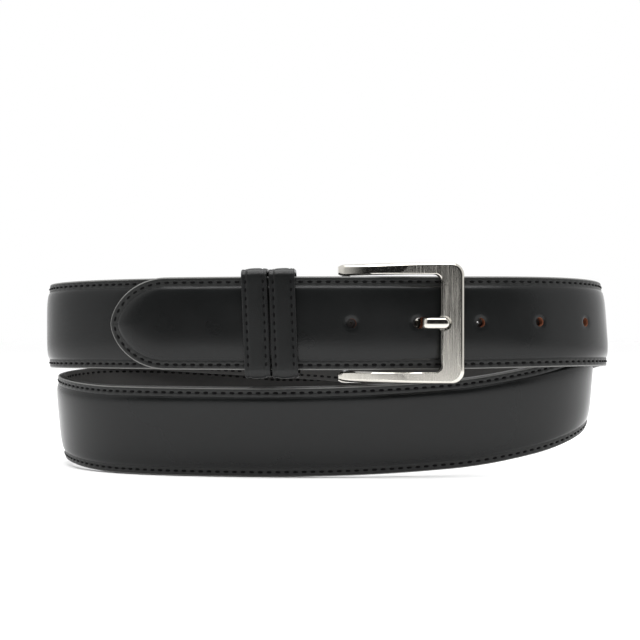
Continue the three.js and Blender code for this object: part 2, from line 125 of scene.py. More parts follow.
def quarter_path():
    """x, y and heading along one quarter of the oval: a flat arc, then a curve that tightens evenly."""
    start = 1 / FLAT_RADIUS
    end = 2 * (math.pi / 2 - FLAT * start) / (QUARTER - FLAT) - start
    step = QUARTER / OVAL_STEPS
    rows = [(0.0, 0.0, 0.0)]
    for i in range(OVAL_STEPS):
        x, y, heading = rows[-1]
        past = max(0.0, (i + 0.5) * step - FLAT) / (QUARTER - FLAT)
        turn = (start + (end - start) * past) * step
        middle = heading + turn / 2
        rows.append((x + math.cos(middle) * step, y + math.sin(middle) * step, heading + turn))
    return np.array(rows)


QUARTER_ROWS = quarter_path()
HALF_DEPTH = QUARTER_ROWS[-1][1]
UP = np.array((0.0, 0.0, 1.0))
offset_at, height_at, lean_at = (keyed(ROUTE, column) for column in (1, 2, 3))


def unit(vector):
    return vector / np.linalg.norm(vector)


def oval(s):
    """A point of the oval and its outward direction, s along it leftwards from the middle of the front."""
    turns = math.floor(s / QUARTER)
    within = s - turns * QUARTER
    quarter = turns % 4
    along = within if quarter % 2 == 0 else QUARTER - within
    place = min(OVAL_STEPS - 1e-6, along / QUARTER * OVAL_STEPS)
    i = int(place)
    x, y, heading = QUARTER_ROWS[i] + (QUARTER_ROWS[i + 1] - QUARTER_ROWS[i]) * (place - i)
    side = -1 if quarter < 2 else 1
    face = 1 if quarter in (0, 3) else -1
    point = np.array((side * x, face * (y - HALF_DEPTH), 0.0))
    return point, np.array((side * math.sin(heading), -face * math.cos(heading), 0.0))


def centre(s):
    point, outward = oval(s)
    turns = s / QUARTER
    point = point + outward * offset_at(turns)
    point[2] = height_at(turns) + HALF_WIDTH * math.cos(math.radians(lean_at(turns)))
    return point


def coil_frame(s):
    """Place, outward normal and width direction of the strap, s along the coil."""
    tangent = unit(centre(s + 0.5) - centre(s - 0.5))
    up = unit(UP - tangent * tangent[2])
    out = np.cross(up, tangent)
    lean = math.radians(lean_at(s / QUARTER))
    return (
        centre(s),
        out * math.cos(lean) - up * math.sin(lean),
        up * math.cos(lean) + out * math.sin(lean),
    )


def bar_centre():
    point, outward = oval(-BAR_AT)
    point = point - outward * (LAP + BAR_OFFSET)
    point[2] = FRONT_LOW + HALF_WIDTH
    return point


BAR = bar_centre()
FOLD = math.pi * BAR_OFFSET
COIL_START = FLAP + FOLD + BAR_AT
TIP_END = COIL_START + 8 * QUARTER + TIP_REACH
# The frame puts its origin under the middle of the coil: the heel bar tells how far that is.
bar_low, bar_high = (np.array(corner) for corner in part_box("heel_bar"))
SHIFT = (bar_low + bar_high) / 2 / MM - BAR


def strap_frame(q):
    """The same for the whole strap, q from the end of the folded flap to the tip."""
    if q > FLAP + FOLD:
        return coil_frame(q - COIL_START)
    if q < FLAP:
        point, outward = oval(FLAP - q - BAR_AT)
        point = point - outward * (LAP + 2 * BAR_OFFSET)
        point[2] = BAR[2]
        return point, -outward, UP
    turn = (q - FLAP) / BAR_OFFSET
    outward = oval(-BAR_AT)[1]
    along = -np.cross(outward, UP)
    out = along * math.sin(turn) - outward * math.cos(turn)
    return BAR + out * BAR_OFFSET, out, UP


def smooth_step(value, low, high):
    t = min(1.0, max(0.0, (value - low) / (high - low)))
    return t * t * (3 - 2 * t)


def skive(q):
    """0 where the buckle end is thinned to fold, 1 where the strap has its full thickness."""
    return smooth_step(q - COIL_START, SKIVE_FROM, SKIVE_TO)


def thickness(q):
    return SKIVE_THIN + (1 - SKIVE_THIN) * skive(q)


def half_width(q):
    left = (TIP_END - q) / TIP_TAPER
    return HALF_WIDTH if left >= 1 else HALF_WIDTH * max(0.0, 1 - (1 - left) ** 2) ** 0.6


TIP_OUTLINE = np.array([
    (TIP_END - TIP_TAPER * (1 - math.sin(t)), half_width(TIP_END - TIP_TAPER * (1 - math.sin(t))))
    for t in np.linspace(0, math.pi / 2, 160)
])


def edge_distance(q, across):
    """How far a place on the flat strap is from its cut edge."""
    if q < TIP_END - TIP_TAPER - HALF_WIDTH:
        return HALF_WIDTH - abs(across)
    near = np.min(np.hypot(TIP_OUTLINE[:, 0] - q, TIP_OUTLINE[:, 1] - abs(across)))
    inside = min(near, HALF_WIDTH - abs(across)) if q < TIP_END - TIP_TAPER else near
    return max(0.0, inside)


def edge_place(q, across):
    """A place on the flat strap from where its stitching starts, its width counted from the cut edge."""
    return q - STITCH_START, math.copysign(HALF_WIDTH - edge_distance(q, across), across)


HOLES = [COIL_START + 8 * QUARTER - HOLE_FIRST - i * HOLE_PITCH for i in range(HOLE_COUNT)]
STITCH_INSET = 2.0
STITCH_START = COIL_START + SKIVE_FROM
# The relief of the face leather: how wide and how deep each of its features is.
EDGE_ROUND, EDGE_DROP = 0.45, 0.38      # the rounded cut edge
FURROW_WIDTH, SEAM_DEPTH, CREASE_DEPTH = 0.5, 0.16, 0.08
MARGIN_DROP = 0.3                       # how far the margin sinks towards the cut edge
UNEVENNESS = 0.02
HOLE_DIP_RADIUS, HOLE_DIP_DEPTH = 2.1, 0.4
# The used hole is stretched: how far each of its punches is moved away from the tip, and their radius.
HOLE_STRETCH, STRETCHED_RADIUS = (0.4, 1.5, 2.6), 2.1
LINING_STRETCH, LINING_HOLE_SHARE = (1.7,), 0.3     # the lining closes up behind the holes
PUNCH_LOW, PUNCH_HIGH = -3.1, 3.4
FOLD_SLOT = (10.4, 11, 6.2)             # along the strap, through it and across it


def face_height(q, across):
    """Height of the face leather over the middle of the strap's thickness."""
    distance = edge_distance(q, across)
    height = EDGE_HALF
    if distance < EDGE_ROUND:
        height -= EDGE_DROP * (1 - distance / EDGE_ROUND) ** 2
    height -= SEAM_DEPTH * math.exp(-(((distance - STITCH_INSET) / FURROW_WIDTH) ** 2))
    if distance < MARGIN:
        height -= MARGIN_DROP * (1 - distance / MARGIN) ** 2
    else:
        from_middle = min(1.0, (HALF_WIDTH - distance) / (HALF_WIDTH - MARGIN))
        height += CROWN * skive(q) * (1 - from_middle**4) ** 0.62
        height += UNEVENNESS * skive(q) * (math.sin(q / 9.1) + math.sin(q / 3.7 + across / 5) / 2)
    height -= CREASE_DEPTH * skive(q) * math.exp(-(((distance - MARGIN) / FURROW_WIDTH) ** 2))
    for hole in HOLES:
        if abs(q - hole) < 8:
            reach = math.hypot(q - hole, across)
            height -= HOLE_DIP_DEPTH * math.exp(-((reach / HOLE_DIP_RADIUS) ** 4))
    return height


def to_metres(points):
    return (np.asarray(points) + SHIFT) * MM


# ---- Modelling helpers ----------------------------------------------------------------------------
def deselect():
    if bpy.context.object and bpy.context.object.mode != "OBJECT":
        bpy.ops.object.mode_set(mode="OBJECT")
    bpy.ops.object.select_all(action="DESELECT")


def edit(piece):
    deselect()
    bpy.context.view_layer.objects.active = piece
    piece.select_set(True)
    bpy.ops.object.mode_set(mode="EDIT")
    bpy.ops.mesh.select_all(action="SELECT")


def rolled_grid(name, points, closed=True, caps=True, angle=35, flat_places=None):
    """Adds a flat grid, rolls it into the given rows of points, in metres, and closes its ends."""
    rows, columns = points.shape[:2]
    deselect()
    bpy.ops.mesh.primitive_grid_add(x_subdivisions=columns - 1, y_subdivisions=rows - 1, size=2)
    piece = bpy.context.object
    piece.name = piece.data.name = name
    flat = np.empty(len(piece.data.vertices) * 3)
    piece.data.vertices.foreach_get("co", flat)
    flat = flat.reshape(-1, 3)
    column = np.rint((flat[:, 0] + 1) / 2 * (columns - 1)).astype(int)
    row = np.rint((flat[:, 1] + 1) / 2 * (rows - 1)).astype(int)
    piece.data.vertices.foreach_set("co", points[row, column].reshape(-1))
    if flat_places is not None:
        corners = np.empty(len(piece.data.loops), dtype=int)
        piece.data.loops.foreach_get("vertex_index", corners)
        places = flat_places[row[corners], column[corners]]
        piece.data.uv_layers[0].data.foreach_set("uv", places.reshape(-1))
    edit(piece)
    if closed:
        bpy.ops.mesh.remove_doubles(threshold=1e-7)
    if caps:
        bpy.ops.mesh.select_all(action="DESELECT")
        bpy.ops.mesh.select_non_manifold()
        bpy.ops.mesh.fill_holes(sides=0)
        bpy.ops.mesh.select_all(action="SELECT")
    bpy.ops.mesh.normals_make_consistent(inside=False)
    bpy.ops.object.mode_set(mode="OBJECT")
    bpy.ops.object.shade_smooth_by_angle(angle=math.radians(angle))
    return piece


def apply_modifier(piece, kind, **settings):
    deselect()
    bpy.context.view_layer.objects.active = piece
    piece.select_set(True)
    modifier = piece.modifiers.new(kind.title(), kind)
    for key, value in settings.items():
        setattr(modifier, key, value)
    bpy.ops.object.modifier_apply(modifier=modifier.name)


def carve(piece, cutters):
    for cutter in cutters:
        apply_modifier(piece, "BOOLEAN", operation="DIFFERENCE", solver="EXACT", object=cutter)
        bpy.data.objects.remove(cutter)


def cutting_pin(point, out, radius, low, high):
    """A round punch through the strap, along its normal."""
    deselect()
    middle = to_metres(point + out * (low + high) / 2)
    bpy.ops.mesh.primitive_cylinder_add(vertices=40, radius=radius * MM, depth=(high - low) * MM)
    pin = bpy.context.object
    turn = Vector((0, 0, 1)).rotation_difference(Vector(out)).to_matrix().to_4x4()
    pin.data.transform(Matrix.Translation(Vector(middle)) @ turn)
    return pin


def copies(name, model, places):
    """One mesh that holds a copy of the model piece for each 4 by 4 place; the model is used up."""
    count = len(model.data.vertices)
    flat = np.empty(count * 3)
    model.data.vertices.foreach_get("co", flat)
    corners = np.hstack([flat.reshape(-1, 3), np.ones((count, 1))])
    faces = [tuple(polygon.vertices) for polygon in model.data.polygons]
    vertices = np.vstack([corners @ np.array(place).T[:, :3] for place in places])
    all_faces = [tuple(v + i * count for v in face) for i in range(len(places)) for face in faces]
    mesh = bpy.data.meshes.new(name)
    mesh.from_pydata(vertices.tolist(), [], all_faces)
    mesh.polygons.foreach_set("use_smooth", [True] * len(all_faces))
    piece = bpy.data.objects.new(name, mesh)
    bpy.context.scene.collection.objects.link(piece)
    bpy.data.objects.remove(model)
    return piece


def settle(piece, body, slot, material, *nodes):
    """Gives a finished piece its material and its body, and hides the nodes that it stands for; the slot is
    not used.
    """
    piece.data.materials.clear()
    piece.data.materials.append(material)
    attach(piece, body)
    if nodes:
        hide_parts(*nodes)
    return piece


# ---- Materials ------------------------------------------------------------------------------------
def node_group(name, inputs, outputs, build):
    """A shader node group with named sockets, made once."""
    if name in bpy.data.node_groups:
        return bpy.data.node_groups[name]
    group = bpy.data.node_groups.new(name, "ShaderNodeTree")
    for label, value in inputs:
        socket = group.interface.new_socket(label, in_out="INPUT", socket_type="NodeSocketFloat")
        socket.default_value = value
    for label, kind in outputs:
        group.interface.new_socket(label, in_out="OUTPUT", socket_type=kind)
    start = group.nodes.new("NodeGroupInput")
    end = group.nodes.new("NodeGroupOutput")
    build(group, start, end)
    return group


def build_grain(group, start, end):
    """Leather grain: fine pores, a slow change of gloss and a few faint creases."""
    link = group.links.new
    place = group.nodes.new("ShaderNodeTexCoord")
    pores = group.nodes.new("ShaderNodeTexVoronoi")
    pores.inputs["Randomness"].default_value = 0.9
    fine = group.nodes.new("ShaderNodeTexNoise")
    fine.inputs["Scale"].default_value = 5200
    fine.inputs["Detail"].default_value = 3
    slow = group.nodes.new("ShaderNodeTexNoise")
    slow.inputs["Scale"].default_value = 42
    slow.inputs["Detail"].default_value = 3
    link(place.outputs["Object"], pores.inputs["Vector"])
    link(place.outputs["Object"], fine.inputs["Vector"])
    link(place.outputs["Object"], slow.inputs["Vector"])
    link(start.outputs["Pore Scale"], pores.inputs["Scale"])
    mix = group.nodes.new("ShaderNodeMath")
    mix.operation = "MULTIPLY_ADD"
    mix.inputs[1].default_value = 0.45
    link(fine.outputs["Fac"], mix.inputs[0])
    link(pores.outputs["Distance"], mix.inputs[2])
    bump = group.nodes.new("ShaderNodeBump")
    bump.inputs["Distance"].default_value = 0.0001
    link(start.outputs["Depth"], bump.inputs["Strength"])
    link(mix.outputs[0], bump.inputs["Height"])
    link(bump.outputs["Normal"], end.inputs["Normal"])
    gloss = group.nodes.new("ShaderNodeMapRange")
    gloss.inputs["From Min"].default_value = 0.3
    gloss.inputs["From Max"].default_value = 0.7
    link(slow.outputs["Fac"], gloss.inputs["Value"])
    link(start.outputs["Gloss Low"], gloss.inputs["To Min"])
    link(start.outputs["Gloss High"], gloss.inputs["To Max"])
    link(gloss.outputs["Result"], end.inputs["Roughness"])
    link(slow.outputs["Fac"], end.inputs["Tone"])


def leather_material(name, colour, pore_scale, depth, gloss, shine):
    material = bpy.data.materials.new(name)
    material.use_nodes = True
    nodes, link = material.node_tree.nodes, material.node_tree.links.new
    shader = nodes["Principled BSDF"]
    grain = nodes.new("ShaderNodeGroup")
    grain.node_tree = node_group(
        "Leather Grain",
        [("Pore Scale", 1500), ("Depth", 0.2), ("Gloss Low", 0.3), ("Gloss High", 0.4)],
        [("Normal", "NodeSocketVector"), ("Roughness", "NodeSocketFloat"), ("Tone", "NodeSocketFloat")],
        build_grain,
    )
    grain.inputs["Pore Scale"].default_value = pore_scale
    grain.inputs["Depth"].default_value = depth
    grain.inputs["Gloss Low"].default_value, grain.inputs["Gloss High"].default_value = gloss
    ramp = nodes.new("ShaderNodeMix")
    ramp.data_type = "RGBA"
    ramp.inputs["A"].default_value = (*[c * 0.8 for c in colour], 1)
    ramp.inputs["B"].default_value = (*[c * 1.25 for c in colour], 1)
    link(grain.outputs["Tone"], ramp.inputs["Factor"])
    link(ramp.outputs["Result"], shader.inputs["Base Color"])
    link(grain.outputs["Roughness"], shader.inputs["Roughness"])
    link(grain.outputs["Normal"], shader.inputs["Normal"])
    shader.inputs["Specular IOR Level"].default_value = shine
    return material


def build_margin(group, start, end):
    """Masks of the stitched margin, which carries a painted sheen, and of the painted highlight along the cut
    edge's arris, and the puckers between the stitches.
    """
    link = group.links.new
    place = group.nodes.new("ShaderNodeUVMap")
    parts = group.nodes.new("ShaderNodeSeparateXYZ")
    link(place.outputs["UV"], parts.inputs["Vector"])
    width = group.nodes.new("ShaderNodeMath")
    width.operation = "ABSOLUTE"
    link(parts.outputs["Y"], width.inputs[0])
    seam = (HALF_WIDTH - STITCH_INSET) * MM
    crease = HALF_WIDTH - MARGIN
    # The margin begins at the crease; the painted highlight on the arris lies between the last two steps.
    steps = [(crease - 0.2, crease + 0.3)]
    steps += [(HALF_WIDTH - 0.6, HALF_WIDTH - 0.4), (HALF_WIDTH - 0.03, HALF_WIDTH - 0.15)]
    ramps = []
    for low, high in steps:
        ramp = group.nodes.new("ShaderNodeMapRange")
        ramp.interpolation_type = "SMOOTHSTEP"
        ramp.inputs["From Min"].default_value = low * MM
        ramp.inputs["From Max"].default_value = high * MM
        link(width.outputs[0], ramp.inputs["Value"])
        ramps.append(ramp.outputs["Result"])
    link(ramps[0], end.inputs["Margin"])
    arris = group.nodes.new("ShaderNodeMath")
    arris.operation = "MULTIPLY"
    link(ramps[1], arris.inputs[0])
    link(ramps[2], arris.inputs[1])
    link(arris.outputs[0], end.inputs["Edge"])
    from_seam = group.nodes.new("ShaderNodeMath")
    from_seam.operation = "SUBTRACT"
    from_seam.inputs[1].default_value = seam
    link(width.outputs[0], from_seam.inputs[0])
    distance = group.nodes.new("ShaderNodeMath")
    distance.operation = "ABSOLUTE"
    link(from_seam.outputs[0], distance.inputs[0])
    near = group.nodes.new("ShaderNodeMapRange")
    near.interpolation_type = "SMOOTHSTEP"
    near.inputs["From Min"].default_value = 0.3 * MM
    near.inputs["From Max"].default_value = 1.5 * MM
    near.inputs["To Min"].default_value = 1.0
    near.inputs["To Max"].default_value = 0.0
    link(distance.outputs[0], near.inputs["Value"])
    turn = group.nodes.new("ShaderNodeMath")
    turn.operation = "MULTIPLY"
    link(parts.outputs["X"], turn.inputs[0])
    link(start.outputs["Turns"], turn.inputs[1])
    wave = group.nodes.new("ShaderNodeMath")
    wave.operation = "COSINE"
    link(turn.outputs[0], wave.inputs[0])
    puckers = group.nodes.new("ShaderNodeMath")
    puckers.operation = "MULTIPLY"
    link(wave.outputs[0], puckers.inputs[0])
    link(near.outputs["Result"], puckers.inputs[1])
    objects = group.nodes.new("ShaderNodeTexCoord")
    wrinkles = group.nodes.new("ShaderNodeTexNoise")
    wrinkles.inputs["Scale"].default_value = 900
    wrinkles.inputs["Detail"].default_value = 4
    link(objects.outputs["Object"], wrinkles.inputs["Vector"])
    creased = group.nodes.new("ShaderNodeMath")
    creased.operation = "MULTIPLY"
    link(wrinkles.outputs["Fac"], creased.inputs[0])
    link(ramps[0], creased.inputs[1])
    total = group.nodes.new("ShaderNodeMath")
    total.operation = "MULTIPLY_ADD"
    total.inputs[1].default_value = 0.5
    link(puckers.outputs[0], total.inputs[0])
    link(creased.outputs[0], total.inputs[2])
    link(total.outputs[0], end.inputs["Height"])


def add_margin(material, margin_sheen_colour, edge_highlight_colour):
    """Roughens and dulls the stitched margin, paints it lighter as a painted sheen, puckers it between the
    stitches and paints a thin highlight along the arris of the cut edge.
    """
    nodes, link = material.node_tree.nodes, material.node_tree.links.new
    shader = nodes["Principled BSDF"]
    margin = nodes.new("ShaderNodeGroup")
    margin.node_tree = node_group(
        "Stitched Margin", [("Turns", 1850)],
        [("Margin", "NodeSocketFloat"), ("Edge", "NodeSocketFloat"), ("Height", "NodeSocketFloat")],
        build_margin,
    )
    margin.inputs["Turns"].default_value = 2 * math.pi / (stitch_length() * MM)
    bump = nodes.new("ShaderNodeBump")
    bump.inputs["Strength"].default_value = 0.8
    bump.inputs["Distance"].default_value = 0.00016
    link(shader.inputs["Normal"].links[0].from_socket, bump.inputs["Normal"])
    link(margin.outputs["Height"], bump.inputs["Height"])
    link(bump.outputs["Normal"], shader.inputs["Normal"])
    # Painted light: the margin is painted lighter as a sheen, and the arris of the cut edge as a thin
    # highlight.
    for mask, colour in (("Margin", margin_sheen_colour), ("Edge", edge_highlight_colour)):
        paint = nodes.new("ShaderNodeMix")
        paint.data_type = "RGBA"
        paint.inputs["B"].default_value = (*colour, 1)
        link(shader.inputs["Base Color"].links[0].from_socket, paint.inputs["A"])
        link(margin.outputs[mask], paint.inputs["Factor"])
        link(paint.outputs["Result"], shader.inputs["Base Color"])
    rough = nodes.new("ShaderNodeMath")
    rough.operation = "MULTIPLY_ADD"
    rough.inputs[1].default_value = 0.16
    link(margin.outputs["Margin"], rough.inputs[0])
    link(shader.inputs["Roughness"].links[0].from_socket, rough.inputs[2])
    link(rough.outputs[0], shader.inputs["Roughness"])
    return material


def thread_material(name, colour):
    """Waxed thread: a fine twist across the strand."""
    material = bpy.data.materials.new(name)
    material.use_nodes = True
    nodes, link = material.node_tree.nodes, material.node_tree.links.new
    shader = nodes["Principled BSDF"]
    place = nodes.new("ShaderNodeTexCoord")
    wave = nodes.new("ShaderNodeTexWave")
    wave.bands_direction = "DIAGONAL"
    wave.inputs["Scale"].default_value = 900
    wave.inputs["Distortion"].default_value = 1.5
    bump = nodes.new("ShaderNodeBump")
    bump.inputs["Strength"].default_value = 0.5
    bump.inputs["Distance"].default_value = 0.0001
    # Painted light: the thread is painted darker in the low bands of its twist as shade and lighter on the
    # raised bands as highlight.
    shade = nodes.new("ShaderNodeMix")
    shade.data_type = "RGBA"
    shade.inputs["A"].default_value = (*[c * 0.5 for c in colour], 1)
    shade.inputs["B"].default_value = (*[c * 1.4 for c in colour], 1)
    link(place.outputs["Object"], wave.inputs["Vector"])
    link(wave.outputs["Fac"], bump.inputs["Height"])
    link(wave.outputs["Fac"], shade.inputs["Factor"])
    link(shade.outputs["Result"], shader.inputs["Base Color"])
    link(bump.outputs["Normal"], shader.inputs["Normal"])
    shader.inputs["Roughness"].default_value = 0.8
    shader.inputs["Specular IOR Level"].default_value = 0.1
    return material


def build_brushing(group, start, end):
    """Fine parallel scratches along Z, which also vary the roughness."""
    link = group.links.new
    place = group.nodes.new("ShaderNodeTexCoord")
    stretch = group.nodes.new("ShaderNodeMapping")
    stretch.inputs["Scale"].default_value = (1, 1, 0.03)
    lines = group.nodes.new("ShaderNodeTexNoise")
    lines.inputs["Detail"].default_value = 4
    link(place.outputs["Object"], stretch.inputs["Vector"])
    link(stretch.outputs["Vector"], lines.inputs["Vector"])
    link(start.outputs["Line Scale"], lines.inputs["Scale"])
    rough = group.nodes.new("ShaderNodeMapRange")
    rough.inputs["From Min"].default_value = 0.3
    rough.inputs["From Max"].default_value = 0.7
    link(lines.outputs["Fac"], rough.inputs["Value"])
    link(start.outputs["Rough Low"], rough.inputs["To Min"])
    link(start.outputs["Rough High"], rough.inputs["To Max"])
    bump = group.nodes.new("ShaderNodeBump")
    bump.inputs["Distance"].default_value = 0.00003
    link(start.outputs["Depth"], bump.inputs["Strength"])
    link(lines.outputs["Fac"], bump.inputs["Height"])
    link(rough.outputs["Result"], end.inputs["Roughness"])
    link(bump.outputs["Normal"], end.inputs["Normal"])


def metal_material(name, colour, line_scale, depth, rough):
    material = bpy.data.materials.new(name)
    material.use_nodes = True
    nodes, link = material.node_tree.nodes, material.node_tree.links.new
    shader = nodes["Principled BSDF"]
    brush = nodes.new("ShaderNodeGroup")
    brush.node_tree = node_group(
        "Brushed Lines",
        [("Line Scale", 4000), ("Depth", 0.2), ("Rough Low", 0.2), ("Rough High", 0.3)],
        [("Roughness", "NodeSocketFloat"), ("Normal", "NodeSocketVector")],
        build_brushing,
    )
    brush.inputs["Line Scale"].default_value = line_scale
    brush.inputs["Depth"].default_value = depth
    brush.inputs["Rough Low"].default_value, brush.inputs["Rough High"].default_value = rough
    link(brush.outputs["Roughness"], shader.inputs["Roughness"])
    link(brush.outputs["Normal"], shader.inputs["Normal"])
    shader.inputs["Base Color"].default_value = (*colour, 1)
    shader.inputs["Metallic"].default_value = 1
    return material


def made(name, build, *values):
    """A material by name, built the first time that it is asked for."""
    return bpy.data.materials.get(name) or build(name, *values)


def settings():
    return bpy.context.scene.belt_settings


def face_leather():
    if "Face Leather" in bpy.data.materials:
        return bpy.data.materials["Face Leather"]
    colour = settings().leather_colour
    material = leather_material("Face Leather", colour, 1500, 0.12, (0.18, 0.26), 0.21)
    return add_margin(material, settings().margin_sheen_colour, settings().edge_highlight_colour)


def keeper_leather():
    return made("Keeper Leather", leather_material, settings().leather_colour, 1700, 0.3, (0.28, 0.38), 0.24)


def lining_leather():
    return made("Lining Leather", leather_material, settings().lining_colour, 900, 0.5, (0.45, 0.6), 0.35)


def black_thread():
    return made("Black Thread", thread_material, settings().thread_colour)


def brushed_nickel():
    return made("Brushed Nickel", metal_material, settings().nickel_colour, 2600, 0.5, (0.16, 0.30))


def polished_nickel():
    return made("Polished Nickel", metal_material, settings().nickel_colour, 900, 0.05, (0.08, 0.14))


def plain_steel():
    return made("Plain Steel", metal_material, settings().steel_colour, 3000, 0.3, (0.3, 0.45))


def raw_leather():
    return made("Raw Leather", leather_material, settings().raw_colour, 1200, 0.8, (0.7, 0.9), 0.2)


def padding_board():
    return made("Padding Board", leather_material, settings().board_colour, 1200, 0.8, (0.8, 0.95), 0.2)


# ---- Properties -----------------------------------------------------------------------------------
class BeltSettings(bpy.types.PropertyGroup):
    """Sizes and colours of the belt that a user would change."""

    station_step: FloatProperty(
        name="Station Step", description="Spacing of the strap's cross sections", default=2.6 * MM,
        min=1 * MM, max=8 * MM, unit="LENGTH")
    hole_radius: FloatProperty(
        name="Hole Radius", description="Radius of the punched holes", default=1.75 * MM, unit="LENGTH")
    stitch_pitch: FloatProperty(
        name="Stitch Pitch", description="Length of one stitch of the edge stitching", default=3.4 * MM,
        unit="LENGTH")
    stitch_thick: FloatProperty(
        name="Thread Thickness", description="Thickness of the edge thread", default=0.95 * MM, unit="LENGTH")
    keeper_pitch: FloatProperty(
        name="Keeper Stitch Pitch", description="Length of one keeper stitch", default=3.1 * MM,
        unit="LENGTH")
    leather_colour: FloatVectorProperty(
        name="Leather", description="Colour of the face leather", default=(0.0058, 0.0062, 0.0062),
        subtype="COLOR", min=0, max=1)
    lining_colour: FloatVectorProperty(
        name="Lining", description="Colour of the lining leather", default=(0.02, 0.019, 0.018),
        subtype="COLOR", min=0, max=1)
    thread_colour: FloatVectorProperty(
        name="Thread", description="Colour of the stitching thread", default=(0.0012, 0.0012, 0.0013),
        subtype="COLOR", min=0, max=1)
    nickel_colour: FloatVectorProperty(
        name="Nickel", description="Colour of the buckle's plating", default=(0.53, 0.51, 0.465),
        subtype="COLOR", min=0, max=1)
    steel_colour: FloatVectorProperty(
        name="Steel", description="Colour of the pin, the staples and the snaps", default=(0.42, 0.42, 0.43),
        subtype="COLOR", min=0, max=1)
    # Painted sheen: the margin is painted lighter than the leather for the light that its slopes catch.
    margin_sheen_colour: FloatVectorProperty(
        name="Margin", description="Colour of the leather along the stitching, dulled by the needle",
        default=(0.012, 0.0123, 0.012), subtype="COLOR", min=0, max=1)
    # Painted highlight: a thin light line along the arris of the dark cut edge, where the rounded edge
    # catches the light.
    edge_highlight_colour: FloatVectorProperty(
        name="Edge Highlight", description="Colour of the worn paint on the cut edges",
        default=(0.13, 0.13, 0.125), subtype="COLOR", min=0, max=1)
    raw_colour: FloatVectorProperty(
        name="Raw Leather", description="Colour of the cut leather inside the holes",
        default=(0.17, 0.06, 0.03), subtype="COLOR", min=0, max=1)
    board_colour: FloatVectorProperty(
        name="Padding Board", description="Colour of the raw board seen in the holes",
        default=(0.16, 0.07, 0.035), subtype="COLOR", min=0, max=1)


# ---- Strap ----------------------------------------------------------------------------------------
def strap_stations(step, hole_step):
    """Stations along the strap: close at the fold, the holes and the tip."""
    marks = list(np.linspace(0, FLAP, int(FLAP / step)))
    marks += list(np.linspace(FLAP, FLAP + FOLD, 20))
    marks += list(np.arange(FLAP + FOLD + step, TIP_END - TIP_TAPER - HALF_WIDTH, step))
    marks += list(np.arange(TIP_END - TIP_TAPER - HALF_WIDTH, TIP_END - TIP_TAPER, step / 2))
    marks += [TIP_END - TIP_TAPER * (1 - math.sin(t)) for t in np.linspace(0, math.pi / 2 - 0.02, 44)]
    if hole_step:
        for hole in HOLES:
            marks = [mark for mark in marks if abs(mark - hole) > 5]
            marks += list(np.arange(hole - 4.8, hole + 4.81, hole_step))
    return sorted(marks)


def wrap(stations, rows):
    """Points in metres for every station and every row (across, height) that the row functions give."""
    grid = np.empty((len(stations), len(rows), 3))
    for i, q in enumerate(stations):
        point, out, up = strap_frame(q)
        for j, row in enumerate(rows):
            across, height = row(q)
            grid[i, j] = point + up * across + out * height
    return to_metres(grid)


def face_rows():
    """The section of the face leather, once round: under side, cut edge, crowned top and back."""
    def under(part):
        return lambda q: (part * half_width(q), (SPLIT + 0.04) * thickness(q))

    def top(part):
        def row(q):
            across = part * half_width(q)
            height = face_height(q, across)
            over = max(0.0, height - EDGE_HALF)
            return across, min(height, EDGE_HALF) * thickness(q) + over
        return row

    beside = [1, 0.9985, 0.995, 0.989, 0.982, 0.974, 0.955, 0.925, 0.912, 0.9, 0.886, 0.872, 0.86, 0.848,
              0.825, 0.808, 0.8, 0.79, 0.775, 0.755, 0.725, 0.685, 0.63, 0.56, 0.48, 0.4, 0.33, 0.26,
              0.21, 0.17, 0.135, 0.1, 0.065, 0.03]
    parts = [-part for part in beside] + [0] + beside[::-1]
    wall = [lambda q: (-half_width(q), 0.3 * thickness(q))]
    far_wall = [lambda q: (half_width(q), 0.3 * thickness(q))]
    rows = [under(-1)] + wall + [top(part) for part in parts] + far_wall
    return rows + [under(part) for part in (1, 0.8, 0.3, -0.3, -0.8, -1)]


def lining_rows():
    """The section of the lining, once round, a little narrower than the face."""
    def row(part, inset, height):
        return lambda q: (part * max(0.01, half_width(q) - inset), height * thickness(q))

    low = -EDGE_HALF
    corner = [(0.03, SPLIT - 0.04), (0.0, SPLIT - 0.25), (0.03, low + 0.35), (0.14, low + 0.12), (0.35, low)]
    near = [row(-1, inset, height) for inset, height in corner]
    far = [row(1, inset, height) for inset, height in reversed(corner)]
    flat = [row(part, 0.35, low) for part in (-0.88, -0.6, -0.2, 0.2, 0.6, 0.88)]
    back = [row(part, 0.03, SPLIT - 0.04) for part in (0.5, -0.5)]
    return near + flat + far + back + near[:1]


def punches(radius, stretch=HOLE_STRETCH):
    """A punch for every hole, and several for the used hole, which the prong has stretched."""
    pins = []
    for i, hole in enumerate(HOLES):
        for shift in (stretch if i == HOLE_USED else (0,)):
            point, out, _ = strap_frame(hole - shift)
            reach = STRETCHED_RADIUS if i == HOLE_USED else radius
            pins.append(cutting_pin(point, out, reach, PUNCH_LOW, PUNCH_HIGH))
    return pins


def paint_hole_walls(piece, radius):
    """Gives the cut walls of the holes the second material, the raw leather under the finish."""
    for i, hole in enumerate(HOLES):
        for shift in (HOLE_STRETCH if i == HOLE_USED else (0,)):
            point, out, _ = strap_frame(hole - shift)
            middle, axis = Vector(to_metres(point)), Vector(out)
            reach = STRETCHED_RADIUS if i == HOLE_USED else radius
            for polygon in piece.data.polygons:
                away = polygon.center - middle
                if away.length < 6 * MM and abs(polygon.normal.dot(axis)) < 0.5:
                    if (away - axis * away.dot(axis)).length < (reach + 0.05) * MM:
                        polygon.material_index = 1


def fold_slot():
    """The slot in the fold that the prong's ring turns in."""
    deselect()
    bpy.ops.mesh.primitive_cube_add(size=1)
    slot = bpy.context.object
    outward = oval(-BAR_AT)[1]
    turn = Matrix.Rotation(math.atan2(outward[0], -outward[1]), 4, "Z")
    size = Matrix.Diagonal((*[side * MM for side in FOLD_SLOT], 1))
    slot.data.transform(Matrix.Translation(Vector(to_metres(BAR))) @ turn @ size)
    return slot


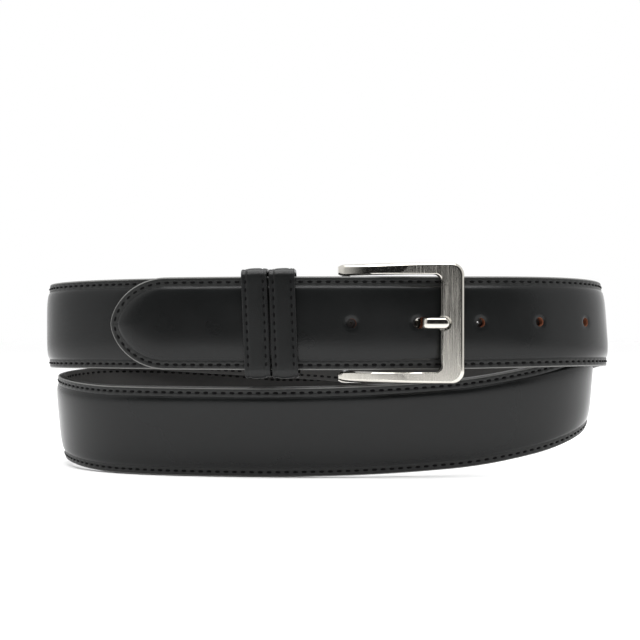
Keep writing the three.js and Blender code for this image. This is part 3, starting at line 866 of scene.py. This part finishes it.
class BELT_OT_face(bpy.types.Operator):
    """Makes the strap's face leather: crowned, creased beside the margin, punched and slotted"""

    bl_idname = "belt.face"
    bl_label = "Face Leather"

    def execute(self, context):
        stations = strap_stations(settings().station_step / MM, 0.6)
        rows = face_rows()
        flat = np.array([[edge_place(q, row(q)[0]) for row in rows] for q in stations]) * MM
        piece = rolled_grid("face_leather", wrap(stations, rows), flat_places=flat)
        radius = settings().hole_radius / MM
        carve(piece, [*punches(radius), fold_slot()])
        settle(piece, "strap", "face_leather", face_leather(), "strap_face")
        piece.data.materials.append(raw_leather())
        paint_hole_walls(piece, radius)
        return {"FINISHED"}


class BELT_OT_lining(bpy.types.Operator):
    """Makes the strap's lining, with its rounded cut edges"""

    bl_idname = "belt.lining"
    bl_label = "Lining Leather"

    def execute(self, context):
        stations = strap_stations(1.5 * settings().station_step / MM, 0)
        piece = rolled_grid("lining_leather", wrap(stations, lining_rows()))
        radius = LINING_HOLE_SHARE * settings().hole_radius / MM
        carve(piece, [*punches(radius, LINING_STRETCH), fold_slot()])
        settle(piece, "strap", "lining_leather", lining_leather(), "strap_lining")
        return {"FINISHED"}


# ---- Stitching ------------------------------------------------------------------------------------
STITCH_SHARE, KEEPER_STITCH_SHARE = 0.72, 0.62      # length of the thread that shows, in pitches
KEEPER_THREAD_SHARE = 0.8                           # thickness of the keepers' thread, in edge threads


def model_stitch(thick, length):
    """One stitch lying along X: a strand that swells in the middle and dives at both ends."""
    deselect()
    bpy.ops.mesh.primitive_cylinder_add(
        vertices=6, radius=thick / 2, depth=length, rotation=(0, math.pi / 2, 0), end_fill_type="TRIFAN")
    stitch = bpy.context.object
    bpy.ops.object.transform_apply(location=False, rotation=True, scale=False)
    edit(stitch)
    for place in (-0.36, -0.18, 0.0, 0.18, 0.36):
        bpy.ops.mesh.select_all(action="SELECT")
        bpy.ops.mesh.bisect(plane_co=(place * length, 0, 0), plane_no=(1, 0, 0))
    bpy.ops.object.mode_set(mode="OBJECT")
    for vertex in stitch.data.vertices:
        along = min(1.0, abs(vertex.co.x) / (length / 2))
        narrow = 1 - 0.55 * along**3
        vertex.co.y *= narrow
        vertex.co.z = vertex.co.z * narrow - 0.85 * thick * along**4
    return stitch


def frame_matrix(point, along, normal):
    """A place with X along the row of stitches and Z out of the leather."""
    x = unit(along)
    y = unit(np.cross(normal, x))
    z = np.cross(x, y)
    matrix = np.eye(4)
    matrix[:3, 0], matrix[:3, 1], matrix[:3, 2], matrix[:3, 3] = x, y, z, point
    return matrix


def path_length(path):
    return np.concatenate([[0], np.cumsum(np.linalg.norm(np.diff(path, axis=0), axis=1))])


def stitch_length():
    """The pitch that divides the edge's stitch row into whole stitches."""
    length = path_length(edge_path(1))[-1]
    return length / int(length / (settings().stitch_pitch / MM))


def edge_path(side):
    """The stitch row on the flat strap, (q, across), from the fold to the middle of the tip."""
    straight = [(q, HALF_WIDTH - STITCH_INSET) for q in np.arange(STITCH_START, TIP_END - TIP_TAPER, 1.0)]
    inward = np.gradient(TIP_OUTLINE, axis=0)
    inward = np.stack([inward[:, 1], -inward[:, 0]], axis=1)
    inward /= np.linalg.norm(inward, axis=1)[:, None]
    bend = TIP_OUTLINE + inward * STITCH_INSET
    path = np.array(straight + [tuple(row) for row in bend if row[1] > 0.2])
    return path * (1, side)


def even_places(path, pitch):
    """Places at an even pitch along a flat path, with the direction of the path there."""
    length = path_length(path)
    count = round(length[-1] / pitch)
    marks = (np.arange(count) + 0.5) * (length[-1] / count)

    def at(mark):
        return np.array([np.interp(mark, length, path[:, k]) for k in (0, 1)])

    return [(at(mark - pitch / 2), at(mark + pitch / 2)) for mark in marks]


def stitch_row(name, side, on_face):
    thick = settings().stitch_thick / MM
    places = []
    for start, end in even_places(edge_path(side), stitch_length()):
        ends = []
        for q, across in (start, end):
            point, out, up = strap_frame(q)
            height = face_height(q, across) if on_face else -EDGE_HALF
            lift = height * thickness(q) + (0.02 if on_face else -0.02) * thick
            ends.append(point + up * across + out * lift)
            normal = out if on_face else -out
        middle = (ends[0] + ends[1]) / 2
        places.append(frame_matrix(to_metres(middle), ends[1] - ends[0], normal))
    model = model_stitch(settings().stitch_thick, STITCH_SHARE * settings().stitch_pitch)
    return copies(name, model, places)


class BELT_OT_edge_stitching(bpy.types.Operator):
    """Sews both edges of the strap, on the face and on the lining, one strand for each stitch"""

    bl_idname = "belt.edge_stitching"
    bl_label = "Edge Stitching"

    def execute(self, context):
        for edge, side in (("upper", 1), ("lower", -1)):
            for layer, on_face in (("face", True), ("back", False)):
                row = stitch_row(f"{layer}_stitches_{edge}", side, on_face)
                settle(row, "strap", "thread", black_thread(), f"{layer}_thread_{edge}")
        return {"FINISHED"}


# ---- Keepers --------------------------------------------------------------------------------------
KEEPER_HALF, KEEPER_WALL, KEEPER_CORNER, KEEPER_WIDTH, KEEPER_LEAN = 20.5, 1.6, 3.2, 9.6, 2.3
KEEPER_GAP = 0.45               # between the strap's crown and the inside of the keeper
KEEPER_SEAM = 0.7               # place of the stitching, as a share of half the width
# Name of each keeper: its place along the front, the inside of its back, and its body.
KEEPERS = {"fixed": (-16.4, -6.5, "strap"), "sliding": (-26.6, -12.8, "keeper")}


def rounded_loop(left, right, half, radius, steps=10):
    """A rounded rectangle as points with outward normals, once round, with evenly divided sides."""
    corners = [(right - radius, -half + radius, -90), (right - radius, half - radius, 0),
               (left + radius, half - radius, 90), (left + radius, -half + radius, 180)]
    rows = []
    for number, (x, y, start) in enumerate(corners):
        for step in range(steps + 1):
            angle = math.radians(start + 90 * step / steps)
            normal = (math.cos(angle), math.sin(angle))
            rows.append((x + radius * normal[0], y + radius * normal[1], *normal))
        next_x, next_y, next_start = corners[(number + 1) % 4]
        angle = math.radians(next_start)
        goal = (next_x + radius * math.cos(angle), next_y + radius * math.sin(angle))
        last = rows[-1]
        for part in np.linspace(0, 1, 14)[1:-1]:
            rows.append((last[0] + (goal[0] - last[0]) * part, last[1] + (goal[1] - last[1]) * part,
                         last[2], last[3]))
    rows.append(rows[0])
    return np.array(rows)


def keeper_matrix(x):
    """The keeper's own axes: X along the strap, -Y outward, Z up, leaning a little."""
    point, outward = oval(8 * QUARTER - x)
    point[2] = FRONT_LOW + HALF_WIDTH
    turn = Matrix.Rotation(math.atan2(outward[0], -outward[1]), 4, "Z")
    lean = Matrix.Rotation(math.radians(-KEEPER_LEAN), 4, "Y")
    return Matrix.Translation(Vector(point)) @ turn @ lean


def keeper_swell(x):
    """Thickness of the keeper across its width: thin stitched edges and a raised middle."""
    from_middle = abs(x) / (KEEPER_WIDTH / 2)
    raised = 0.3 * max(0.0, 1 - (from_middle / 0.6) ** 3) ** 0.7 if from_middle < 0.6 else 0
    groove = 0.14 * math.exp(-(((from_middle - KEEPER_SEAM) / 0.09) ** 2))
    edge = 0.3 * max(0.0, (from_middle - 0.92) / 0.08) ** 2
    return KEEPER_WALL - 0.2 + raised - groove - edge


def keeper_loop(name, x, back):
    front = EDGE_HALF + CROWN + KEEPER_GAP
    loop = rounded_loop(-front, -back, KEEPER_HALF - KEEPER_WALL, KEEPER_CORNER - KEEPER_WALL)
    matrix = np.array(keeper_matrix(x))
    across = [-1, -0.995, -0.98, -0.95, -0.9, -0.85, -0.79, -0.74, -0.7, -0.66, -0.62, -0.58, -0.53, -0.46,
              -0.36, -0.2, 0]
    across = [part * KEEPER_WIDTH / 2 for part in across + [-part for part in reversed(across[:-1])]]
    section = [(part, keeper_swell(part)) for part in across]
    section += [(part, 0.0) for part in (KEEPER_WIDTH / 2 - 0.05, 0, -KEEPER_WIDTH / 2 + 0.05)]
    section.append(section[0])
    grid = np.empty((len(loop), len(section), 3))
    for i, (depth, height, normal_depth, normal_height) in enumerate(loop):
        for j, (part, lift) in enumerate(section):
            local = (part, depth + normal_depth * lift, height + normal_height * lift, 1)
            grid[i, j] = (matrix @ local)[:3]
    return rolled_grid(name, to_metres(grid), caps=False, angle=50), loop, matrix


def keeper_stitches(name, loop, matrix):
    pitch = settings().keeper_pitch / MM
    length = path_length(loop[:, :2])
    count = round(length[-1] / pitch)
    seam = KEEPER_SEAM * KEEPER_WIDTH / 2
    lift = keeper_swell(seam) + 0.02
    places = []
    for side in (-1, 1):
        for number in range(count):
            ends = []
            for mark in (number, number + 0.85):
                depth, height, out_depth, out_height = (
                    np.interp(mark / count * length[-1], length, loop[:, k]) for k in range(4))
                local = (side * seam, depth + out_depth * lift, height + out_height * lift, 1)
                ends.append((matrix @ local)[:3])
            normal = (matrix @ (0, out_depth, out_height, 0))[:3]
            places.append(frame_matrix(to_metres((ends[0] + ends[1]) / 2), ends[1] - ends[0], normal))
    thick = KEEPER_THREAD_SHARE * settings().stitch_thick
    model = model_stitch(thick, KEEPER_STITCH_SHARE * settings().keeper_pitch)
    return copies(name, model, places)


class BELT_OT_keepers(bpy.types.Operator):
    """Makes the fixed and the sliding keeper: leather loops with raised middles and two stitched edges"""

    bl_idname = "belt.keepers"
    bl_label = "Keepers"

    def execute(self, context):
        for name, (x, back, body) in KEEPERS.items():
            piece, loop, matrix = keeper_loop(f"{name}_keeper_leather", x, back)
            settle(piece, body, "keeper_leather", keeper_leather(), f"{name}_keeper")
            stitches = keeper_stitches(f"{name}_keeper_stitches", loop, matrix)
            settle(stitches, body, "thread", black_thread())
        return {"FINISHED"}


# ---- Buckle ---------------------------------------------------------------------------------------
BUCKLE_END, BUCKLE_HALF, WINDOW_HALF, FRONT_BAR_WIDTH, BUCKLE_THICK = 43.0, 22.5, 18.15, 9.0, 3.1
ARM_END = 3.0                   # how far the arms reach past the heel bar
OUTER_CORNER, INNER_CORNER = 4.6, 2.6
ARM_ROUND, ARM_PINCH, ARM_MIDDLE = 2.2, 0.35, WINDOW_HALF + 2.2      # the narrowing of the arms' ends
THIN_ARM = 5.2                  # a narrower part of the frame has its bevels scaled down
FACE_RISE = LAP + BAR_OFFSET + EDGE_HALF + CROWN
BAR_BACK = FACE_RISE + 0.6
BUCKLE_TURN = math.asin((BAR_AT + 0.45 * BUCKLE_END) / FLAT_RADIUS)


def buckle_matrix():
    return np.array(Matrix.Translation(Vector(BAR)) @ Matrix.Rotation(BUCKLE_TURN, 4, "Z"))


def bezier(points, count=60):
    t = np.linspace(0, 1, count)[:, None]
    a, b, c, d = (np.array(point, dtype=float) for point in points)
    return a * (1 - t) ** 3 + 3 * b * t * (1 - t) ** 2 + 3 * c * t**2 * (1 - t) + d * t**3


def buckle_side_curves():
    """Front and back of the frame's thickness, as outward distance for each distance from the heel bar."""
    front = BAR_BACK + BUCKLE_THICK
    bend = BUCKLE_END - FRONT_BAR_WIDTH
    fore = bezier([(-1.5, 2.8), (10, front - 2.5), (bend - 14, front), (bend, front)])
    rear = bezier([(2.5, -3.0), (9, 1.5), (bend - 12, BAR_BACK), (bend, BAR_BACK)])
    fore = np.vstack([[(-ARM_END, 1.4)], [(-2.4, 2.2)], fore, [(BUCKLE_END, front)]])
    rear = np.vstack([[(-ARM_END, -1.6)], [(-1.8, -2.9)], rear, [(BUCKLE_END, BAR_BACK)]])
    return fore, rear


def frame_outlines():
    """Matching points of the frame's outer and inner outline, from one arm's end round to the other's."""
    def outline(end, half, corner):
        points = []
        for part in np.linspace(0, 1, 34):
            points.append((-ARM_END + (end - corner + ARM_END) * part, half))
        for angle in np.linspace(90, 0, 17)[1:]:
            turn = math.radians(angle)
            points.append((end - corner + corner * math.cos(turn), half - corner + corner * math.sin(turn)))
        for part in np.linspace(0, 1, 12)[1:-1]:
            points.append((end, (half - corner) * (1 - part)))
        points.append((end, 0))
        points += [(x, -z) for x, z in reversed(points[:-1])]
        return np.array(points)

    outer = outline(BUCKLE_END, BUCKLE_HALF, OUTER_CORNER)
    return outer, outline(BUCKLE_END - FRONT_BAR_WIDTH, WINDOW_HALF, INNER_CORNER)


def frame_grid():
    outer, inner = frame_outlines()
    fore, rear = buckle_side_curves()
    matrix = buckle_matrix()
    # Once round the frame's section: (distance in from the outline, which outline, share of the depth).
    section = [
        (0.5, 0, 0.0), (0.12, 0, 0.05), (0.0, 0, 0.16), (0.0, 0, 0.5), (0.05, 0, 0.66), (0.25, 0, 0.8),
        (0.6, 0, 0.9), (1.1, 0, 0.965), (1.7, 0, 1.0), (1.8, 0, 1.0), (0.75, 1, 1.0), (0.65, 1, 1.0),
        (0.3, 1, 0.97), (0.08, 1, 0.88), (0.0, 1, 0.75), (0.0, 1, 0.25), (0.1, 1, 0.07), (0.4, 1, 0.0),
        (0.5, 0, 0.0),
    ]
    grid = np.empty((len(outer), len(section), 3))
    for i, (out_point, in_point) in enumerate(zip(outer, inner)):
        reach = np.linalg.norm(in_point - out_point)
        inward = (in_point - out_point) / reach
        scale = min(1.0, reach / THIN_ARM)
        for j, (inset, side, share) in enumerate(section):
            x, z = out_point + inward * inset * scale if side == 0 else in_point - inward * inset * scale
            near_end = max(0.0, 1 - (x + ARM_END) / ARM_ROUND)
            z = math.copysign(abs(z) + ARM_PINCH * near_end**2 * (ARM_MIDDLE - abs(z)), z)
            low = np.interp(x, rear[:, 0], rear[:, 1])
            high = np.interp(x, fore[:, 0], fore[:, 1])
            grid[i, j] = (matrix @ (x, -(low + (high - low) * share), z, 1))[:3]
    return grid


NOTCH_HALF, NOTCH_LENGTH, NOTCH_DEPTH = 2.75, 4.0, 2.0


def notch_cutters():
    """A block and a round end that cut the notch where the prong rests."""
    deselect()
    front = -BAR_BACK - BUCKLE_THICK
    bend = BUCKLE_END - FRONT_BAR_WIDTH
    turn = Matrix.Rotation(math.pi / 2, 4, "X")
    to_place = Matrix.Diagonal((MM, MM, MM, 1)) @ Matrix.Translation(Vector(SHIFT)) @ Matrix(buckle_matrix())
    bpy.ops.mesh.primitive_cube_add(size=1)
    block = bpy.context.object
    reach = NOTCH_LENGTH - NOTCH_HALF
    block.data.transform(
        to_place @ Matrix.Translation((bend - 2 + reach / 2, front, 0))
        @ Matrix.Diagonal((reach + 4, 2 * NOTCH_DEPTH, 2 * NOTCH_HALF, 1)))
    deselect()
    bpy.ops.mesh.primitive_cylinder_add(vertices=48, radius=NOTCH_HALF, depth=2 * NOTCH_DEPTH - 0.02)
    end = bpy.context.object
    end.data.transform(to_place @ Matrix.Translation((bend + reach, front, 0)) @ turn)
    return [block, end]


class BELT_OT_buckle(bpy.types.Operator):
    """Makes the buckle frame: a brushed face with a wide polished outer bevel and a thin inner one"""

    bl_idname = "belt.buckle"
    bl_label = "Buckle Frame"

    def execute(self, context):
        piece = rolled_grid("buckle_frame_metal", to_metres(frame_grid()), angle=28)
        carve(piece, notch_cutters())
        settle(piece, "buckle", "brushed_nickel", brushed_nickel(), "buckle_frame")
        piece.data.materials.append(polished_nickel())
        outward = np.array(buckle_matrix())[:3, :3] @ (0, -1, 0)
        for polygon in piece.data.polygons:
            if abs(np.dot(polygon.normal, outward)) < 0.985 and polygon.center.x > 0.0:
                polygon.material_index = 1
        return {"FINISHED"}


PRONG_WIDTH, PRONG_THICK, RING_THICK = 4.1, 2.4, 1.6
RING_PLAY, SEAT_PLAY = 0.08, 0.1        # round the heel bar, and over the floor of the notch
PRONG_END_GAP, PRONG_TIP = 0.8, 2.2     # from the end of the notch, and length of the rounded tip
SHANK_DROP = 1.85                       # from the lining of the tip layer to the shank


def prong_path():
    """The prong's middle line, (distance from the heel bar, outward), with its thickness and width."""
    ring = BAR_RADIUS + RING_PLAY + RING_THICK / 2
    rows = [(ring * math.cos(math.radians(a)), ring * math.sin(math.radians(a)), RING_THICK, PRONG_WIDTH)
            for a in np.linspace(325, 92, 40)]
    hole = HOLE_FIRST + HOLE_PITCH - BAR_AT
    shank = FACE_RISE - CROWN - 2 * EDGE_HALF - SHANK_DROP - PRONG_THICK / 2
    rest = BAR_BACK + BUCKLE_THICK - NOTCH_DEPTH + SEAT_PLAY + PRONG_THICK / 2
    end = BUCKLE_END - FRONT_BAR_WIDTH + NOTCH_LENGTH - PRONG_END_GAP
    shank_curve = bezier([(rows[-1][0], rows[-1][1]), (4, 2.5), (6, shank), (9, shank)], 14)[1:]
    rows += [(x, o, RING_THICK + (PRONG_THICK - RING_THICK) * i / 12, PRONG_WIDTH)
             for i, (x, o) in enumerate(shank_curve)]
    rows += [(x, shank, PRONG_THICK, PRONG_WIDTH) for x in np.linspace(9, hole - 1.5, 14)[1:]]
    rise = bezier([(hole - 1.5, shank), (hole + 2.6, shank), (hole + 0.2, rest), (hole + 4.6, rest)], 30)[1:]
    rows += [(x, o, PRONG_THICK, PRONG_WIDTH) for x, o in rise]
    rows += [(x, rest, PRONG_THICK, PRONG_WIDTH) for x in np.linspace(hole + 4.6, end - PRONG_TIP, 8)[1:]]
    for part in np.sin(np.linspace(0, math.pi / 2, 14))[1:]:
        narrow = math.sqrt(max(0.0004, 1 - part**2))
        x = end - PRONG_TIP + PRONG_TIP * part
        rows.append((x, rest, PRONG_THICK * (0.35 + 0.65 * narrow), PRONG_WIDTH * narrow))
    return np.array(rows)


def prong_grid():
    path = prong_path()
    heading = np.gradient(path[:, :2], axis=0)
    heading /= np.linalg.norm(heading, axis=1)[:, None]
    matrix = buckle_matrix()
    angles = np.linspace(0, 2 * math.pi, 29)
    grid = np.empty((len(path), len(angles), 3))
    for i, (x, out, thick, width) in enumerate(path):
        normal = np.array((-heading[i, 1], heading[i, 0]))
        for j, angle in enumerate(angles):
            side = math.copysign(abs(math.cos(angle)) ** 0.62, math.cos(angle)) * width / 2
            lift = math.copysign(abs(math.sin(angle)) ** 0.72, math.sin(angle)) * thick / 2
            px, po = np.array((x, out)) + normal * lift
            grid[i, j] = (matrix @ (px, -po, side, 1))[:3]
    return grid


class BELT_OT_prong(bpy.types.Operator):
    """Makes the prong: a ring round the heel bar, a shank, a rise through the hole and a rounded tip"""

    bl_idname = "belt.prong"
    bl_label = "Prong"

    def execute(self, context):
        piece = rolled_grid("prong_metal", to_metres(prong_grid()), angle=60)
        settle(piece, "prong", "polished_nickel", polished_nickel(), "prong")
        return {"FINISHED"}


class BELT_OT_inner_parts(bpy.types.Operator):
    """Gives the padding board, the heel bar, the snaps and the staples their materials"""

    bl_idname = "belt.inner_parts"
    bl_label = "Padding, Pin, Snaps and Staples"

    def execute(self, context):
        for name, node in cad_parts.items():
            if name.startswith("snap_") or name.endswith("_staple") or name == "heel_bar":
                material = plain_steel()
            elif name == "strap_padding":
                material = padding_board()
            else:
                continue
            node.data.materials.clear()
            node.data.materials.append(material)
        return {"FINISHED"}


# ---- Stage ----------------------------------------------------------------------------------------
def build_studio(group, start, end):
    """1 where the studio is white, 0 for the dark room behind the camera."""
    link = group.links.new
    place = group.nodes.new("ShaderNodeTexCoord")
    parts = group.nodes.new("ShaderNodeSeparateXYZ")
    link(place.outputs["Generated"], parts.inputs["Vector"])
    masks = []
    for axis, low, high in (("Y", -0.75, -0.35), ("Z", 0.38, 0.75)):
        ramp = group.nodes.new("ShaderNodeMapRange")
        ramp.interpolation_type = "SMOOTHSTEP"
        ramp.inputs["From Min"].default_value = low
        ramp.inputs["From Max"].default_value = high
        link(parts.outputs[axis], ramp.inputs["Value"])
        masks.append(ramp.outputs["Result"])
    either = group.nodes.new("ShaderNodeMath")
    either.operation = "MAXIMUM"
    link(masks[0], either.inputs[0])
    link(masks[1], either.inputs[1])
    scale = group.nodes.new("ShaderNodeMapRange")
    link(either.outputs[0], scale.inputs["Value"])
    link(start.outputs["Dark"], scale.inputs["To Min"])
    link(start.outputs["White"], scale.inputs["To Max"])
    link(scale.outputs["Result"], end.inputs["Strength"])


def studio_world():
    """White to the eye; to the belt, white above, beside and behind it, and dark behind the camera."""
    world = bpy.data.worlds.new("Studio")
    bpy.context.scene.world = world
    world.use_nodes = True
    nodes, link = world.node_tree.nodes, world.node_tree.links.new
    nodes.clear()
    studio = nodes.new("ShaderNodeGroup")
    studio.node_tree = node_group(
        "Studio", [("Dark", 0.02), ("White", 1.15)], [("Strength", "NodeSocketFloat")], build_studio)
    unseen = nodes.new("ShaderNodeBackground")
    unseen.inputs["Color"].default_value = (1, 1, 1, 1)
    seen = nodes.new("ShaderNodeBackground")
    seen.inputs["Color"].default_value = (1, 1, 1, 1)
    path = nodes.new("ShaderNodeLightPath")
    mix = nodes.new("ShaderNodeMixShader")
    end = nodes.new("ShaderNodeOutputWorld")
    link(studio.outputs["Strength"], unseen.inputs["Strength"])
    link(path.outputs["Is Camera Ray"], mix.inputs["Fac"])
    link(unseen.outputs["Background"], mix.inputs[1])
    link(seen.outputs["Background"], mix.inputs[2])
    link(mix.outputs["Shader"], end.inputs["Surface"])


def soft_light(name, place, goal, size, power):
    light = bpy.data.lights.new(name, "AREA")
    light.shape = "RECTANGLE"
    light.size, light.size_y = size
    light.energy = power
    lamp = bpy.data.objects.new(name, light)
    lamp.location = place
    lamp.rotation_euler = (Vector(goal) - Vector(place)).to_track_quat("-Z", "Y").to_euler()
    bpy.context.scene.collection.objects.link(lamp)


FLOOR_FRONT = 1.1               # how far the white floor reaches in front, in metres


class BELT_OT_stage(bpy.types.Operator):
    """Lays the pale floor and sets the soft studio light and the camera"""

    bl_idname = "belt.stage"
    bl_label = "Stage"

    def execute(self, context):
        deselect()
        bpy.ops.mesh.primitive_plane_add(size=200, location=(0, 100 - FLOOR_FRONT, 0))
        bpy.ops.object.transform_apply(location=True, rotation=False, scale=False)
        floor = context.object
        floor.name = "floor"
        material = bpy.data.materials.new("Pale Floor")
        material.use_nodes = True
        shader = material.node_tree.nodes["Principled BSDF"]
        shader.inputs["Base Color"].default_value = (0.95, 0.95, 0.95, 1)
        shader.inputs["Roughness"].default_value = 0.9
        shader.inputs["Specular IOR Level"].default_value = 0.1
        floor.data.materials.append(material)
        studio_world()
        soft_light("top_light", (0, -0.1, 1.1), (0, 0, 0.03), (1.2, 0.8), 14)
        soft_light("strip_light", (0, -0.62, 0.85), (0, 0, 0.05), (1.3, 0.14), 5)
        camera = bpy.data.objects.new("camera", bpy.data.cameras.new("camera"))
        context.scene.collection.objects.link(camera)
        camera.data.lens = 55.1
        camera.data.shift_y = 0.0328
        camera.data.clip_start = 0.01
        camera.location = (-0.0031, -0.4244, 0.0523)
        camera.rotation_euler = (math.pi / 2, 0, 0)
        context.scene.camera = camera
        context.scene.view_settings.view_transform = "Standard"
        return {"FINISHED"}


# ---- Add-on ---------------------------------------------------------------------------------------
OPERATORS = (
    BELT_OT_stage, BELT_OT_face, BELT_OT_lining, BELT_OT_edge_stitching, BELT_OT_keepers, BELT_OT_buckle,
    BELT_OT_prong, BELT_OT_inner_parts,
)


class BELT_PT_panel(bpy.types.Panel):
    """Sidebar panel with the belt's sizes and a button for each piece"""

    bl_label = "Leather Belt"
    bl_idname = "BELT_PT_panel"
    bl_space_type = "VIEW_3D"
    bl_region_type = "UI"
    bl_category = "Belt"

    def draw(self, context):
        column = self.layout.column()
        for name in BeltSettings.__annotations__:
            column.prop(context.scene.belt_settings, name)
        for operator in OPERATORS:
            column.operator(operator.bl_idname)


CLASSES = (BeltSettings, *OPERATORS, BELT_PT_panel)


def register():
    for item in CLASSES:
        bpy.utils.register_class(item)
    bpy.types.Scene.belt_settings = PointerProperty(type=BeltSettings)


def unregister():
    del bpy.types.Scene.belt_settings
    for item in reversed(CLASSES):
        bpy.utils.unregister_class(item)


def main():
    register()
    for operator in OPERATORS:
        group, name = operator.bl_idname.split(".")
        getattr(getattr(bpy.ops, group), name)()


if __name__ == "__main__":
    main()
